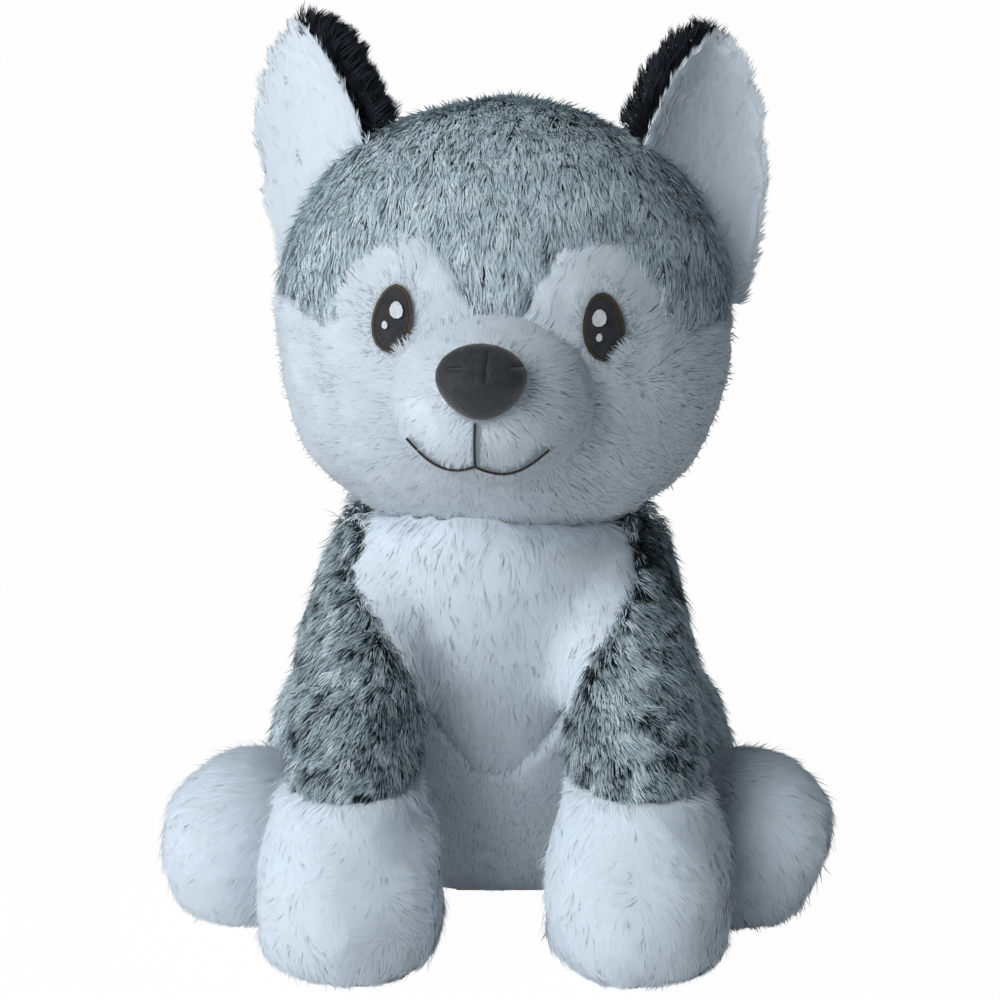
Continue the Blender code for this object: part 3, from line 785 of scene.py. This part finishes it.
@dataclass
class PilePiece(Assembly):
    """One sewn and stuffed panel with its pile, which keeps clear of the trim: felt, nose and thread."""

    node: str
    finish: PileFinish
    coat: Coat
    comb: Comb
    seed: int
    fill: float = 0.7
    voxel: float = 0.0065
    dents: tuple[Dent, ...] = ()
    tufts: tuple[Tuft, ...] = ()
    lumps: float = 0.0012
    relaxed: int = 2
    seams: float = 0.45
    rings: int = 1
    trim: Solids | None = None

    FLOOR = 0.0006
    SEAT = 0.0015
    NEAR_TRIM = 0.014
    AT_TRIM = 0.004
    BARE_TRIM = 0.0016
    RIM_SHARE = 0.6
    BACK_SHARE = 0.5
    BACK_WIDTH = 0.3
    LUMP_WAVE, SMALL_LUMP_WAVE = 0.055, 0.021
    WANDER_WAVE, SMALL_WANDER_WAVE = 0.020, 0.0075
    SWIRL_WAVE, SWAY_WAVE, LENGTH_WAVE = 0.045, 0.015, 0.012
    TONES = (0.03, 0.97)
    TONE_WAVE = 0.030
    TONE_WIDTH = 0.008

    def is_open(self, face: bmesh.types.BMFace, solids: Solids) -> bool:
        """True if the cloth is in view at this face."""
        middle = face.calc_center_median()
        return middle.z > self.SEAT and not solids.covers(middle, face.normal, self.node)

    def cover(self, bm: bmesh.types.BMesh, shown: list[bool]) -> np.ndarray:
        """Says how much pile each face carries.

        Args:
            bm: The net.
            shown: Whether each face is in view.

        Returns:
            1 in view, the seams' share in the rings beside it and 0 beyond.
        """
        edge = {vert for face, seen in zip(bm.faces, shown) if seen for vert in face.verts}
        for _ in range(1, self.rings):
            edge |= {near for vert in edge for face in vert.link_faces for near in face.verts}
        return np.array([
            1.0 if seen else self.seams * any(vert in edge for vert in face.verts)
            for face, seen in zip(bm.faces, shown)
        ])

    def depths(self, points: np.ndarray, rim: list[int]) -> np.ndarray:
        """Says how far the cloth sinks below the pile's tips.

        Args:
            points: The net's points.
            rim: Which of them lie along the edge of the open cloth.

        Returns:
            A depth for each point, in metres.
        """
        depth = np.full(len(points), self.coat.inset)
        if self.trim:
            depth *= np.clip((self.trim.distances(points, self.NEAR_TRIM) - 0.001) / 0.011, 0.12, 1.0)
        depth += (
            self.lumps * ripple(points, self.LUMP_WAVE, self.seed)
            + 0.4 * self.lumps * ripple(points, self.SMALL_LUMP_WAVE, self.seed + 7)
        )
        for dent in self.dents:
            depth += dent.depth * dent.pull(points)
        depth[rim] *= self.RIM_SHARE
        return np.maximum(depth, 0.1 * self.coat.inset)

    def skin(self, source: bpy.types.Object, solids: Solids) -> Skin:
        """Shapes the backing cloth, sunk below the pile's tips where it shows.

        Args:
            source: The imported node.
            solids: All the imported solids.

        Returns:
            The finished backing.
        """
        net = even_net(source, self.voxel)
        bm = bmesh.new()
        bm.from_mesh(net)
        bpy.data.meshes.remove(net)
        bm.normal_update()
        shown = [self.is_open(face, solids) for face in bm.faces]
        cover = self.cover(bm, shown)
        outward = np.zeros((len(bm.verts), 3))
        inner, rim = [], []
        for vert in bm.verts:
            facing = [face for face in vert.link_faces if shown[face.index]]
            if facing:
                outward[vert.index] = sum((face.normal for face in facing), Vector()).normalized()
            if len(facing) == len(vert.link_faces):
                inner.append(vert)
            elif facing:
                rim.append(vert.index)
        points = np.array([vert.co[:] for vert in bm.verts])
        moved = points - outward * self.depths(points, rim)[:, None]
        for vert in bm.verts:
            vert.co = moved[vert.index]
        relax(bm, inner, 0.4, self.relaxed)
        bm.normal_update()
        normals = np.array([vert.normal[:] for vert in bm.verts])
        covered = np.linalg.norm(outward, axis=1, keepdims=True) < 0.5
        made = Skin(
            np.array([vert.co[:] for vert in bm.verts]),
            [tuple(vert.index for vert in face.verts) for face in bm.faces],
            unit(normals * 0.4 + outward * 0.6 + covered * normals),
            cover,
        )
        bm.free()
        return made

    def roots(self, skin: Skin, rng: np.random.Generator) -> tuple[np.ndarray, np.ndarray]:
        """Spreads the roots over the open cloth, with fewer at the back.

        Args:
            skin: The backing cloth.
            rng: The piece's own random numbers.

        Returns:
            The roots and the surface's normals there.
        """
        corners, cover = [], []
        for face, share in zip(skin.faces, skin.cover):
            if share:
                corners += [(face[0], face[i], face[i + 1]) for i in range(1, len(face) - 1)]
                cover += [share] * (len(face) - 2)
        corners, cover = np.array(corners), np.array(cover)
        a, b, c = (skin.points[corners[:, i]] for i in range(3))
        areas = np.linalg.norm(np.cross(b - a, c - a), axis=1) / 2
        facing = unit(np.cross(b - a, c - a))
        wanted = cover * areas / self.coat.spacing**2 * (1 - self.BACK_SHARE * facing[:, 1].clip(0, 1))
        counts = np.floor(wanted + rng.random(len(wanted))).astype(int)
        chosen = np.repeat(np.arange(len(corners)), counts)
        first, second = rng.random((2, len(chosen)))
        over = first + second > 1
        first[over], second[over] = 1 - first[over], 1 - second[over]
        shares = np.stack([1 - first - second, first, second], 1)[:, :, None]
        picked = corners[chosen]
        log.info("%s: open cloth %.4f m2", self.node, areas.sum())
        return (skin.points[picked] * shares).sum(1), unit((skin.normals[picked] * shares).sum(1))

    def leads(self, root: np.ndarray, rng: np.random.Generator) -> np.ndarray:
        """Shares the strands out among locks.

        Args:
            root: The roots.
            rng: The piece's own random numbers.

        Returns:
            For each strand, the row of the one that leads its lock.
        """
        share = (self.coat.spacing / self.coat.lock) ** 2
        leaders = rng.permutation(len(root))[: max(1, int(len(root) * share))]
        tree = kdtree.KDTree(len(leaders))
        for row in leaders:
            tree.insert(root[row], int(row))
        tree.balance()
        return np.array([tree.find(point)[1] for point in root])

    def grow(self, skin: Skin) -> Locks:
        """Grows every strand.

        Args:
            skin: The backing cloth.

        Returns:
            Each strand's root, bend, tip, normal, width, tone, lean and chance, by name.
        """
        rng, coat, seed = np.random.default_rng(self.seed), self.coat, self.seed
        root, normal = self.roots(skin, rng)
        count = len(root)
        flow = self.comb.directions(root, normal)
        turn = 0.65 * ripple(root, self.WANDER_WAVE, seed + 1)
        turn = np.radians(coat.wander) * (turn + 0.5 * ripple(root, self.SMALL_WANDER_WAVE, seed + 2))
        turn += np.radians(coat.swirl) * ripple(root, self.SWIRL_WAVE, seed + 8)
        turn += np.radians(coat.stray) * rng.normal(size=count)
        flow = flow * np.cos(turn)[:, None] + np.cross(normal, flow) * np.sin(turn)[:, None]
        length = coat.length * rng.uniform(0.78, 1.15, count)
        length *= 1 + 0.12 * ripple(root, self.LENGTH_WAVE, seed + 3)
        if self.trim:
            near = self.trim.distances(root, self.NEAR_TRIM)
            length *= np.clip((near + self.AT_TRIM) / self.NEAR_TRIM, 0.35, 1.0)
        loose = coat.LOOSE_LIFT * (rng.random(count) < coat.loose)
        lift = np.radians(coat.root_lift + loose + coat.unruly * rng.normal(size=count))[:, None]
        sway = coat.unruly * (rng.normal(size=count) + 0.9 * ripple(root, self.SWAY_WAVE, seed + 4))
        fall = np.radians(coat.tip_lift + 0.7 * loose + sway)[:, None]
        bend = root + length[:, None] * Strand.BEND * (np.cos(lift) * flow + np.sin(lift) * normal)
        tip = bend + length[:, None] * (1 - Strand.BEND) * (np.cos(fall) * flow + np.sin(fall) * normal)
        lead = self.leads(root, rng)
        spread = root - root[lead]
        hold = (coat.gather * rng.uniform(0.6, 1.2, count) * (loose == 0))[:, None]
        tip += hold * (tip[lead] + spread * 0.3 - tip)
        bend += hold * 0.45 * (bend[lead] + spread * 0.8 - bend)
        tone = 0.5 + 0.10 * rng.normal(size=count) + 0.14 * rng.normal(size=count)[lead]
        tone += 0.16 * ripple(root, self.TONE_WAVE, seed + 5)
        # The pile is drawn darker in each crease: painted shade.
        for dent in self.dents:
            tone -= 0.35 * dent.pull(root)
        broad = 1 + self.BACK_WIDTH * normal[:, 1].clip(0, 1)
        locks = {
            "root": root,
            "bend": bend,
            "tip": tip,
            "normal": normal,
            "width": coat.width * rng.uniform(0.75, 1.25, count) * broad,
            "tone": tone.clip(*self.TONES),
            "lean": np.radians(coat.lean) * rng.normal(size=count),
            "chance": rng.random(count),
        }
        if self.trim:
            near = np.minimum(*(self.trim.distances(points, self.AT_TRIM) for points in (tip, bend)))
            clear = (near > self.BARE_TRIM) | (rng.random(count) < 0.02)
            locks = {name: values[clear] for name, values in locks.items()}
        for tuft in self.tufts:
            grown = tuft.grow(coat, rng)
            locks = {name: np.concatenate([values, grown[name]]) for name, values in locks.items()}
        for name in ("root", "bend", "tip"):
            locks[name][:, 2] = np.maximum(locks[name][:, 2], self.FLOOR)
        return locks

    def stand(self, locks: Locks, strand: Strand) -> tuple[np.ndarray, np.ndarray]:
        """Sets a copy of the strand on every root.

        Args:
            locks: Where each strand starts, bends and ends.
            strand: The strand that is repeated.

        Returns:
            The corners and their normals, by strand and by corner of the strand.
        """
        lower, upper = unit(locks["bend"] - locks["root"]), unit(locks["tip"] - locks["bend"])
        corners = np.empty((len(lower), len(strand.places), 3))
        normals = np.empty_like(corners)
        lean, cosine = np.sin(locks["lean"])[:, None], np.cos(locks["lean"])[:, None]
        ends = {0.0: (locks["root"], lower), 1.0: (locks["tip"], upper)}
        middle = (locks["bend"], unit(lower + upper))
        for place, (across, along, _) in enumerate(strand.places):
            start, axis = ends.get(along, middle)
            rise = unit(locks["normal"] - axis * (locks["normal"] * axis).sum(1, keepdims=True))
            side = np.cross(axis, rise)
            side, rise = side * cosine + rise * lean, rise * cosine - side * lean
            corners[:, place] = start + locks["width"][:, None] * side * across
            own = unit(rise + side * np.sign(across) * Strand.ROUND)
            normals[:, place] = unit(own * (1 - self.coat.softness) + locks["normal"] * self.coat.softness)
        corners[:, :, 2] = np.maximum(corners[:, :, 2], self.FLOOR)
        return corners, normals

    def ground_map(self, skin: Skin) -> np.ndarray:
        """The backing's places on the pile map, all near the root, one row for each corner."""
        # The backing takes the colour near the root; on the white piles that darker colour is painted shade.
        tone = (0.4 + 0.25 * ripple(skin.points, self.TONE_WAVE, self.seed + 5)).clip(*self.TONES)
        return np.array([
            (0.01 + 0.05 * (i in (1, 2)), tone[face[0]] + 0.02 * (i > 1))
            for face in skin.faces for i in range(len(face))
        ]).reshape(-1, 2)

    def join(self, ending: str, skin: Skin, locks: Locks, strand: Strand) -> bpy.types.Object:
        """Makes one object of a backing and its pile, and puts it in the node's place.

        Args:
            ending: The end of the object's name.
            skin: The backing cloth, or a bare one.
            locks: The grown strands.
            strand: The strand that is repeated.

        Returns:
            The object, with its map and material.
        """
        corners, normals = self.stand(locks, strand)
        count, base = len(corners), len(skin.points)
        pattern = np.concatenate([np.array(face) for face in strand.faces])
        sizes = [len(face) for face in skin.faces] + [len(face) for face in strand.faces] * count
        hair = (pattern[None, :] + base + np.arange(count)[:, None] * len(strand.places)).ravel()
        cloth = np.array([corner for face in skin.faces for corner in face], dtype=int)
        order = np.concatenate([cloth, hair])
        points = np.concatenate([skin.points, corners.reshape(-1, 3)])
        mesh = bpy.data.meshes.new(f"{self.node}_{ending}")
        mesh.vertices.add(len(points))
        mesh.vertices.foreach_set("co", points.astype(np.float32).ravel())
        mesh.loops.add(len(order))
        mesh.loops.foreach_set("vertex_index", order.astype(np.int32))
        mesh.polygons.add(len(sizes))
        starts = np.concatenate([[0], np.cumsum(sizes)[:-1]])
        mesh.polygons.foreach_set("loop_start", starts.astype(np.int32))
        mesh.update(calc_edges=True)
        along = strand.places[pattern, 1][None, :] * 0.96 + 0.02
        tone = locks["tone"][:, None] + strand.places[pattern, 0][None, :] * self.TONE_WIDTH
        pile = np.stack(np.broadcast_arrays(along, tone), 2)
        places = np.concatenate([self.ground_map(skin), pile.reshape(-1, 2)])
        layer = mesh.uv_layers.new(name=PILE_MAP)
        layer.uv.foreach_set("vector", places.astype(np.float32).ravel())
        mesh.shade_smooth()
        facing = np.concatenate([skin.normals, normals.reshape(-1, 3)])
        mesh.normals_split_custom_set_from_vertices(facing.tolist())
        mesh.materials.append(self.finish.material())
        return put_in_place(mesh.name, mesh, self.finish.slot, self.node)

    def build(self, shop: Workshop) -> None:
        """Makes the panel, with a loft of pile that casts no shadow where the coat lets light through."""
        skin = self.skin(shop.nodes[self.node], shop.solids)
        locks = self.grow(skin)
        shading = locks["chance"] < self.coat.shading
        dense = {name: values[shading] for name, values in locks.items()}
        piece = self.join("pile", skin, dense, shop.strand)
        if not shading.all():
            thin = {name: values[~shading] for name, values in locks.items()}
            self.join("loft", Skin.bare(), thin, shop.strand).visible_shadow = False
        shop.triangles += len(locks["root"]) * shop.strand.triangles + 2 * len(skin.faces)
        log.info("%s: %d strands, %d backing faces", piece.name, len(locks["root"]), len(skin.faces))


class Workshop:
    """What all the pieces share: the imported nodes, their solids and the strand."""

    def __init__(self) -> None:
        """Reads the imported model."""
        self.nodes: dict[str, bpy.types.Object] = dict(frame["nodes"])
        self.solids = Solids(self.nodes)
        self.strand = Strand()
        self.triangles = 0

    def dress(self, node: str, finish: Finish) -> None:
        """Gives a node that stays in view its finish."""
        slots = self.nodes[node].data.materials
        for place in range(len(slots)):
            slots[place] = finish.material()


# The toy


@dataclass
class Nose(Assembly):
    """The padded nose, drawn in along its centre seam and two darts."""

    voxel: float = 0.0011
    relaxed: int = 12
    seams: Seams = Seams()
    seam_fade: float = 0.003
    groove: float = 0.0011
    depth: float = 0.0010
    fill: float = 0.8

    def build(self, shop: Workshop) -> None:
        """Makes the nose and puts it in the node's place."""
        low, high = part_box("nose")
        middle = (low + high) / 2
        mesh = even_net(shop.nodes["nose"], self.voxel)
        bm = bmesh.new()
        bm.from_mesh(mesh)
        relax(bm, list(bm.verts), 0.5, self.relaxed)
        bm.normal_update()
        pull = self.pull(np.array([vert.co[:] for vert in bm.verts]) - np.array(middle))
        inward = [-vert.normal.copy() for vert in bm.verts]
        for vert, way, strength in zip(bm.verts, inward, pull):
            vert.co += way * float(strength) * self.depth
        bm.to_mesh(mesh)
        bm.free()
        mesh.shade_smooth()
        mesh.materials.clear()
        mesh.materials.append(NoseFinish("nose_cloth", self.seams, middle).material())
        put_in_place("nose_padded", mesh, "nose_fabric", "nose")
        shop.triangles += 2 * len(mesh.polygons)

    def pull(self, places: np.ndarray) -> np.ndarray:
        """How far each point is drawn in by the stitches.

        Args:
            places: Points from the middle of the nose.

        Returns:
            A value from 0 to 1 for each.
        """
        sewn, up = self.seams, places[:, 2]
        across = places[:, 0] - sewn.shift - sewn.slant * (up - sewn.foot)
        front = (places[:, 1] < 0).astype(float)
        centre = np.exp(-((across / self.groove) ** 2)) * ((up - sewn.foot) / self.seam_fade).clip(0, 1)
        off = np.abs(across)
        along = ((off - sewn.inner) / sewn.edge).clip(0, 1) * ((sewn.outer - off) / sewn.edge).clip(0, 1)
        dart = np.exp(-(((up - sewn.rise + off * sewn.droop) / self.groove) ** 2)) * along
        return front * np.maximum(centre, dart)


@dataclass
class MouthThread(Assembly):
    """The mouth: one dark two-ply thread down from the nose and out along both smiles."""

    ply: float = 0.00052
    offset: float = 0.00040
    pitch: float = 0.0030
    step: float = 0.0004
    sides: int = 6
    cusp: float = 0.0024
    cusp_reach: float = 0.0055
    line_freedom: int = 2
    arc_freedom: int = 4

    NODES = ("mouth_line", "mouth_arc_left", "mouth_arc_right")
    FINE = 600

    def build(self, shop: Workshop) -> None:
        """Makes the thread and puts it in the three nodes' place."""
        down, left, right = (
            np.array([vert.co[:] for vert in shop.nodes[name].data.vertices]) for name in self.NODES
        )
        line = self.curve(down, 2, self.line_freedom)
        foot = line[0]
        line = line[line[:, 2] >= foot[2] + self.cusp]
        arcs = [self.curve(spots, 0, self.arc_freedom) for spots in (right, left)]
        for arc in arcs:
            arc += (line[0] - foot) * np.exp(-np.abs(arc[:, :1] - foot[0]) / self.cusp_reach)
        smile = self.even(np.concatenate([arcs[0][:-2], line[:1], arcs[1][2:]]))
        bm = bmesh.new()
        for path in (smile, line):
            for turn in (0.0, math.pi):
                self.twist(bm, path, turn)
        bmesh.ops.recalc_face_normals(bm, faces=bm.faces)
        mesh = bpy.data.meshes.new("mouth_thread")
        bm.to_mesh(mesh)
        bm.free()
        mesh.shade_smooth()
        mesh.materials.append(MOUTH_THREAD.material())
        put_in_place(mesh.name, mesh, "mouth_thread", *self.NODES)
        shop.triangles += 2 * len(mesh.polygons)

    def curve(self, spots: np.ndarray, axis: int, degree: int) -> np.ndarray:
        """Draws a smooth line through the middle of a thread.

        Args:
            spots: Points of the thread's surface.
            axis: The axis that the thread runs along.
            degree: How freely the line bends.

        Returns:
            Evenly spaced points of the line.
        """
        run = spots[:, axis]
        fine = np.linspace(run.min(), run.max(), self.FINE)
        line = np.empty((len(fine), 3))
        for other in range(3):
            fitted = np.polynomial.Polynomial.fit(run, spots[:, other], degree)
            line[:, other] = fine if other == axis else fitted(fine)
        return self.even(line)

    def even(self, line: np.ndarray) -> np.ndarray:
        """Spaces the points of a line evenly."""
        far = np.concatenate([[0.0], np.cumsum(np.linalg.norm(np.diff(line, axis=0), axis=1))])
        wanted = np.linspace(0.0, far[-1], int(far[-1] / self.step) + 1)
        return np.stack([np.interp(wanted, far, line[:, other]) for other in range(3)], 1)

    def twist(self, bm: bmesh.types.BMesh, path: np.ndarray, turn: float) -> None:
        """Sweeps one ply round the thread's line.

        Args:
            bm: Where it is added.
            path: The thread's line.
            turn: Where the ply starts round the line.
        """
        ahead = unit(np.gradient(path, axis=0))
        sides = unit(np.cross(ahead, (0.0, 1.0, 0.0)))
        before = None
        for place, (spot, side, out) in enumerate(zip(path, sides, np.cross(sides, ahead))):
            angle = turn + 2 * math.pi * place * self.step / self.pitch
            centre = spot + self.offset * (math.cos(angle) * side + math.sin(angle) * out)
            spins = [2 * math.pi * corner / self.sides for corner in range(self.sides)]
            ring = [
                bm.verts.new(centre + self.ply * (math.cos(spin) * side + math.sin(spin) * out))
                for spin in spins
            ]
            if before:
                for corner in range(self.sides):
                    after = (corner + 1) % self.sides
                    bm.faces.new((before[corner], before[after], ring[after], ring[corner]))
            else:
                bm.faces.new(ring)
            before = ring
        bm.faces.new(reversed(before))


@dataclass
class Head(Assembly):
    """The head: crown, face, muzzle, nose, eyes and mouth."""

    muzzle_centre: Point = (-0.006, -0.150, 0.300)
    nose_front: Point = (-0.0095, -0.216, 0.333)
    crown_whorl: Point = (0.003, 0.035, 0.452)
    cheek_whorl: Point = (0.079, -0.125, 0.316)
    eye_reach: float = 0.024
    right_tuft: Tuft = Tuft((-0.0490, -0.1450, 0.3395), (-0.62, 0.0, 0.78), (-0.1, -0.9, -0.15))
    left_tuft: Tuft = Tuft((0.0668, -0.1498, 0.3355), (-0.75, 0.0, 0.66), (0.42, -0.85, -0.1))

    def build(self, shop: Workshop) -> None:
        """Makes every piece of the head."""
        names = ["nose"]
        for side in Side:
            names += [f"{part}_{side.word}" for part in ("eye", "eye_rim", "mouth_arc")]
        trim = Solids({name: shop.nodes[name] for name in (*names, "mouth_line")})
        eyes = tuple(
            Whorl(tuple((a + b) / 2 for a, b in zip(*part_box(f"eye_{side.word}"))), self.eye_reach, 1.6)
            for side in Side
        )
        PilePiece(
            "head_crown", HEATHER, LONG_COAT, Comb((0.0, -0.6, -0.8), (Whorl(self.crown_whorl, 0.05, 0.6),)),
            seed=11,
        ).build(shop)
        face_whorls = (Whorl(self.muzzle_centre, 0.22), Whorl(self.cheek_whorl, 0.03, 1.2), *eyes)
        PilePiece(
            "face", SHADED_FACE_WHITE, FACE_COAT, Comb((0.0, 0.0, -0.2), face_whorls), seed=23,
            tufts=(self.right_tuft, self.left_tuft), trim=trim,
        ).build(shop)
        PilePiece(
            "muzzle", SHADED_MUZZLE_WHITE, MUZZLE_COAT, Comb((0.0, 0.2, -0.1), (Whorl(self.nose_front, 0.12),)),
            seed=31, voxel=0.004, lumps=0.0005, trim=trim,
        ).build(shop)
        for side in Side:
            for part, finish in {
                "eye": EYE_FELT, "eye_rim": RIM_THREAD, "glint": GLINT_FELT, "small_glint": GLINT_FELT,
            }.items():
                shop.dress(f"{part}_{side.word}", finish)
        Nose().build(shop)
        MouthThread().build(shop)


@dataclass
class Ears(Assembly):
    """Two pricked ears: long black backs, each combed its own way, and white linings."""

    right_back: Comb = Comb((0.6, 0.5, 0.6))
    left_back: Comb = Comb((-0.2, 0.4, 0.5), (Whorl((0.110, -0.045, 0.415), 0.15, 0.7),))
    hollow: Point = (0.108, -0.07, 0.375)

    def build(self, shop: Workshop) -> None:
        """Makes both ears."""
        for side, back in ((Side.LEFT, self.left_back), (Side.RIGHT, self.right_back)):
            PilePiece(
                f"ear_back_{side.word}", BLACK, SHAGGY_COAT, back, seed=41, voxel=0.005, seams=0.0
            ).build(shop)
            PilePiece(
                f"ear_lining_{side.word}", SHADED_SHORT_WHITE, EAR_COAT,
                Comb(side.mirror((0.3, 0.0, 0.8)), (Whorl(side.mirror(self.hollow), 0.08, 0.9),)),
                seed=47, voxel=0.003, lumps=0.0004, seams=1.0,
            ).build(shop)


@dataclass
class Torso(Assembly):
    """The seated body: grey back, white bib, short belly and tail."""

    neck: Point = (0.0, -0.09, 0.25)
    tail_way: Point = (0.0, 1.0, 0.2)

    def build(self, shop: Workshop) -> None:
        """Makes the body's panels."""
        bib_comb = Comb((0.0, -0.15, -1.0), (Whorl(self.neck, 0.13, 0.6),))
        for piece in (
            PilePiece("torso", HEATHER, BODY_COAT, Comb((0.0, 0.25, -1.0)), seed=53),
            PilePiece("chest_bib", WHITE, BIB_COAT, bib_comb, seed=59, relaxed=14),
            PilePiece(
                "belly", BELLY_WHITE, SHORT_COAT, Comb((0.0, -0.1, -1.0)), seed=61, voxel=0.005, lumps=0.0006
            ),
            PilePiece("tail", HEATHER, BODY_COAT, Comb(self.tail_way), seed=67),
            PilePiece("tail_tip", WHITE, FLUFFY_COAT, Comb(self.tail_way), seed=71),
        ):
            piece.build(shop)


@dataclass
class FrontLegs(Assembly):
    """Two creased sleeves with white paws."""

    wrist: Point = (0.080, -0.17, 0.12)
    left_creases: tuple[Dent, ...] = (
        Dent((0.086, -0.085, 0.222), 0.013, 0.004), Dent((0.096, -0.092, 0.196), 0.012, 0.003),
    )
    right_creases: tuple[Dent, ...] = (
        Dent((-0.070, -0.125, 0.157), 0.014, 0.004), Dent((-0.085, -0.150, 0.126), 0.012, 0.002),
    )
    left_parting: Point = (0.075, -0.240, 0.055)
    right_parting: Point = (-0.066, -0.238, 0.055)

    def build(self, shop: Workshop) -> None:
        """Makes both legs."""
        for side, creases, parting in (
            (Side.LEFT, self.left_creases, self.left_parting),
            (Side.RIGHT, self.right_creases, self.right_parting),
        ):
            PilePiece(
                f"front_leg_{side.word}", DARK_HEATHER, SLEEVE_COAT, Comb(side.mirror((0.45, -0.15, -0.9))),
                seed=73 + side.value, dents=creases, seams=0.8, rings=3,
            ).build(shop)
            whorls = (Whorl(side.mirror(self.wrist), 0.16), Whorl(parting, 0.03, 1.3))
            PilePiece(
                f"front_paw_{side.word}", WHITE, PAW_COAT, Comb((0.0, -0.25, -0.5), whorls),
                seed=79 + side.value,
            ).build(shop)


@dataclass
class HindLegs(Assembly):
    """Two thighs with white feet turned out."""

    instep: Point = (0.105, -0.110, 0.095)

    def build(self, shop: Workshop) -> None:
        """Makes both legs."""
        for side in Side:
            thigh_comb = Comb(side.mirror((0.5, 0.1, -0.8)))
            foot_comb = Comb(side.mirror((0.1, -0.1, -0.3)), (Whorl(side.mirror(self.instep), 0.16),))
            PilePiece(f"thigh_{side.word}", HEATHER, BODY_COAT, thigh_comb, seed=83).build(shop)
            PilePiece(f"hind_foot_{side.word}", WHITE, FLUFFY_COAT, foot_comb, seed=89).build(shop)


# The studio


@dataclass(frozen=True)
class Lamp:
    """One soft square lamp: where it hangs, the length of its side, its watts and its tint."""

    name: str
    place: Point
    size: float
    power: float
    tint: Colour

    def hang(self, target: Point) -> None:
        """Hangs the lamp so that it faces the target."""
        data = bpy.data.lights.new(self.name, "AREA")
        data.size = self.size
        data.energy = self.power
        data.color = self.tint
        lamp = link(bpy.data.objects.new(self.name, data))
        lamp.location = self.place
        lamp.rotation_euler = (Vector(target) - Vector(self.place)).to_track_quat("-Z", "Y").to_euler()


@dataclass
class Studio:
    """A pale floor, soft light from the viewer's left and the photograph's camera."""

    tilt: float = math.radians(14)
    distance: float = 1.8
    aim_height: float = 0.216
    lens: float = 108.0
    sensor: float = 36.0
    far_end: float = 60.0
    floor_size: float = 30.0
    floor_glow: float = 0.985
    sky: float = 0.175
    lamp_target: Point = (0.0, -0.05, 0.25)
    key: Lamp = Lamp("key_lamp", (-2.1, -1.9, 1.9), 2.6, 82.0, (0.97, 0.99, 1.0))
    fill: Lamp = Lamp("fill_lamp", (-0.5, -2.3, 0.25), 1.2, 2.5, (0.92, 0.97, 1.0))

    WHITE = (1.0, 1.0, 1.0, 1.0)
    SKY_TINT = (0.82, 0.94, 1.0, 1.0)

    def build(self) -> None:
        """Makes the floor, world, lamps and camera."""
        self.lay_floor()
        self.light_world()
        self.key.hang(self.lamp_target)
        self.fill.hang(self.lamp_target)
        self.place_camera()

    def lay_floor(self) -> None:
        """Lays the floor, which shows white and keeps the object's shadow."""
        mesh = bpy.data.meshes.new("floor")
        bm = bmesh.new()
        bmesh.ops.create_grid(bm, x_segments=2, y_segments=2, size=self.floor_size / 2)
        bm.to_mesh(mesh)
        bm.free()
        shader = Shader(bpy.data.materials.new("pale_floor"))
        colour = shader.blend(shader.grain(0.02), (0.86, 0.87, 0.88), (0.90, 0.90, 0.91))
        matt = shader.node("ShaderNodeBsdfDiffuse", {}, {"Color": colour})
        glow = shader.node("ShaderNodeEmission", {}, {"Color": self.WHITE, "Strength": 1.0})
        ray = shader.node("ShaderNodeLightPath", {}, {}, "Is Camera Ray")
        seen = ray + ray.other("Is Glossy Ray") + ray.other("Is Transmission Ray")
        surface = shader.node("ShaderNodeMixShader", {}, {0: seen * self.floor_glow, 1: matt, 2: glow})
        shader.node("ShaderNodeOutputMaterial", {}, {"Surface": surface})
        mesh.materials.append(shader.owner)
        link(bpy.data.objects.new("floor", mesh))

    def light_world(self) -> None:
        """Makes an even sky that the camera sees as white."""
        world = bpy.data.worlds.new("studio")
        bpy.context.scene.world = world
        shader = Shader(world)
        soft = shader.node("ShaderNodeBackground", {}, {"Color": self.SKY_TINT, "Strength": self.sky})
        white = shader.node("ShaderNodeBackground", {}, {"Color": self.WHITE, "Strength": 1.0})
        ray = shader.node("ShaderNodeLightPath", {}, {}, "Is Camera Ray")
        surface = shader.node("ShaderNodeMixShader", {}, {0: ray, 1: soft, 2: white})
        shader.node("ShaderNodeOutputWorld", {}, {"Surface": surface})

    def place_camera(self) -> None:
        """Sets the camera where the photograph was taken from."""
        data = bpy.data.cameras.new("camera")
        data.lens = self.lens
        data.sensor_width = self.sensor
        data.clip_end = self.far_end
        camera = link(bpy.data.objects.new("camera", data))
        back, rise = self.distance * math.cos(self.tilt), self.distance * math.sin(self.tilt)
        camera.location = (0.0, -back, self.aim_height + rise)
        camera.rotation_euler = (math.pi / 2 - self.tilt, 0.0, 0.0)
        bpy.context.scene.camera = camera
        bpy.context.scene.view_settings.view_transform = "Standard"


def main() -> None:
    """Builds the toy's pieces and the studio, in order."""
    logging.basicConfig(level=logging.INFO, format="%(name)s: %(message)s")
    shop = Workshop()
    for assembly in (Head(), Ears(), Torso(), FrontLegs(), HindLegs()):
        assembly.build(shop)
        log.info("%s done, %d triangles so far", type(assembly).__name__, shop.triangles)
    Studio().build()


if __name__ == "__main__":
    main()
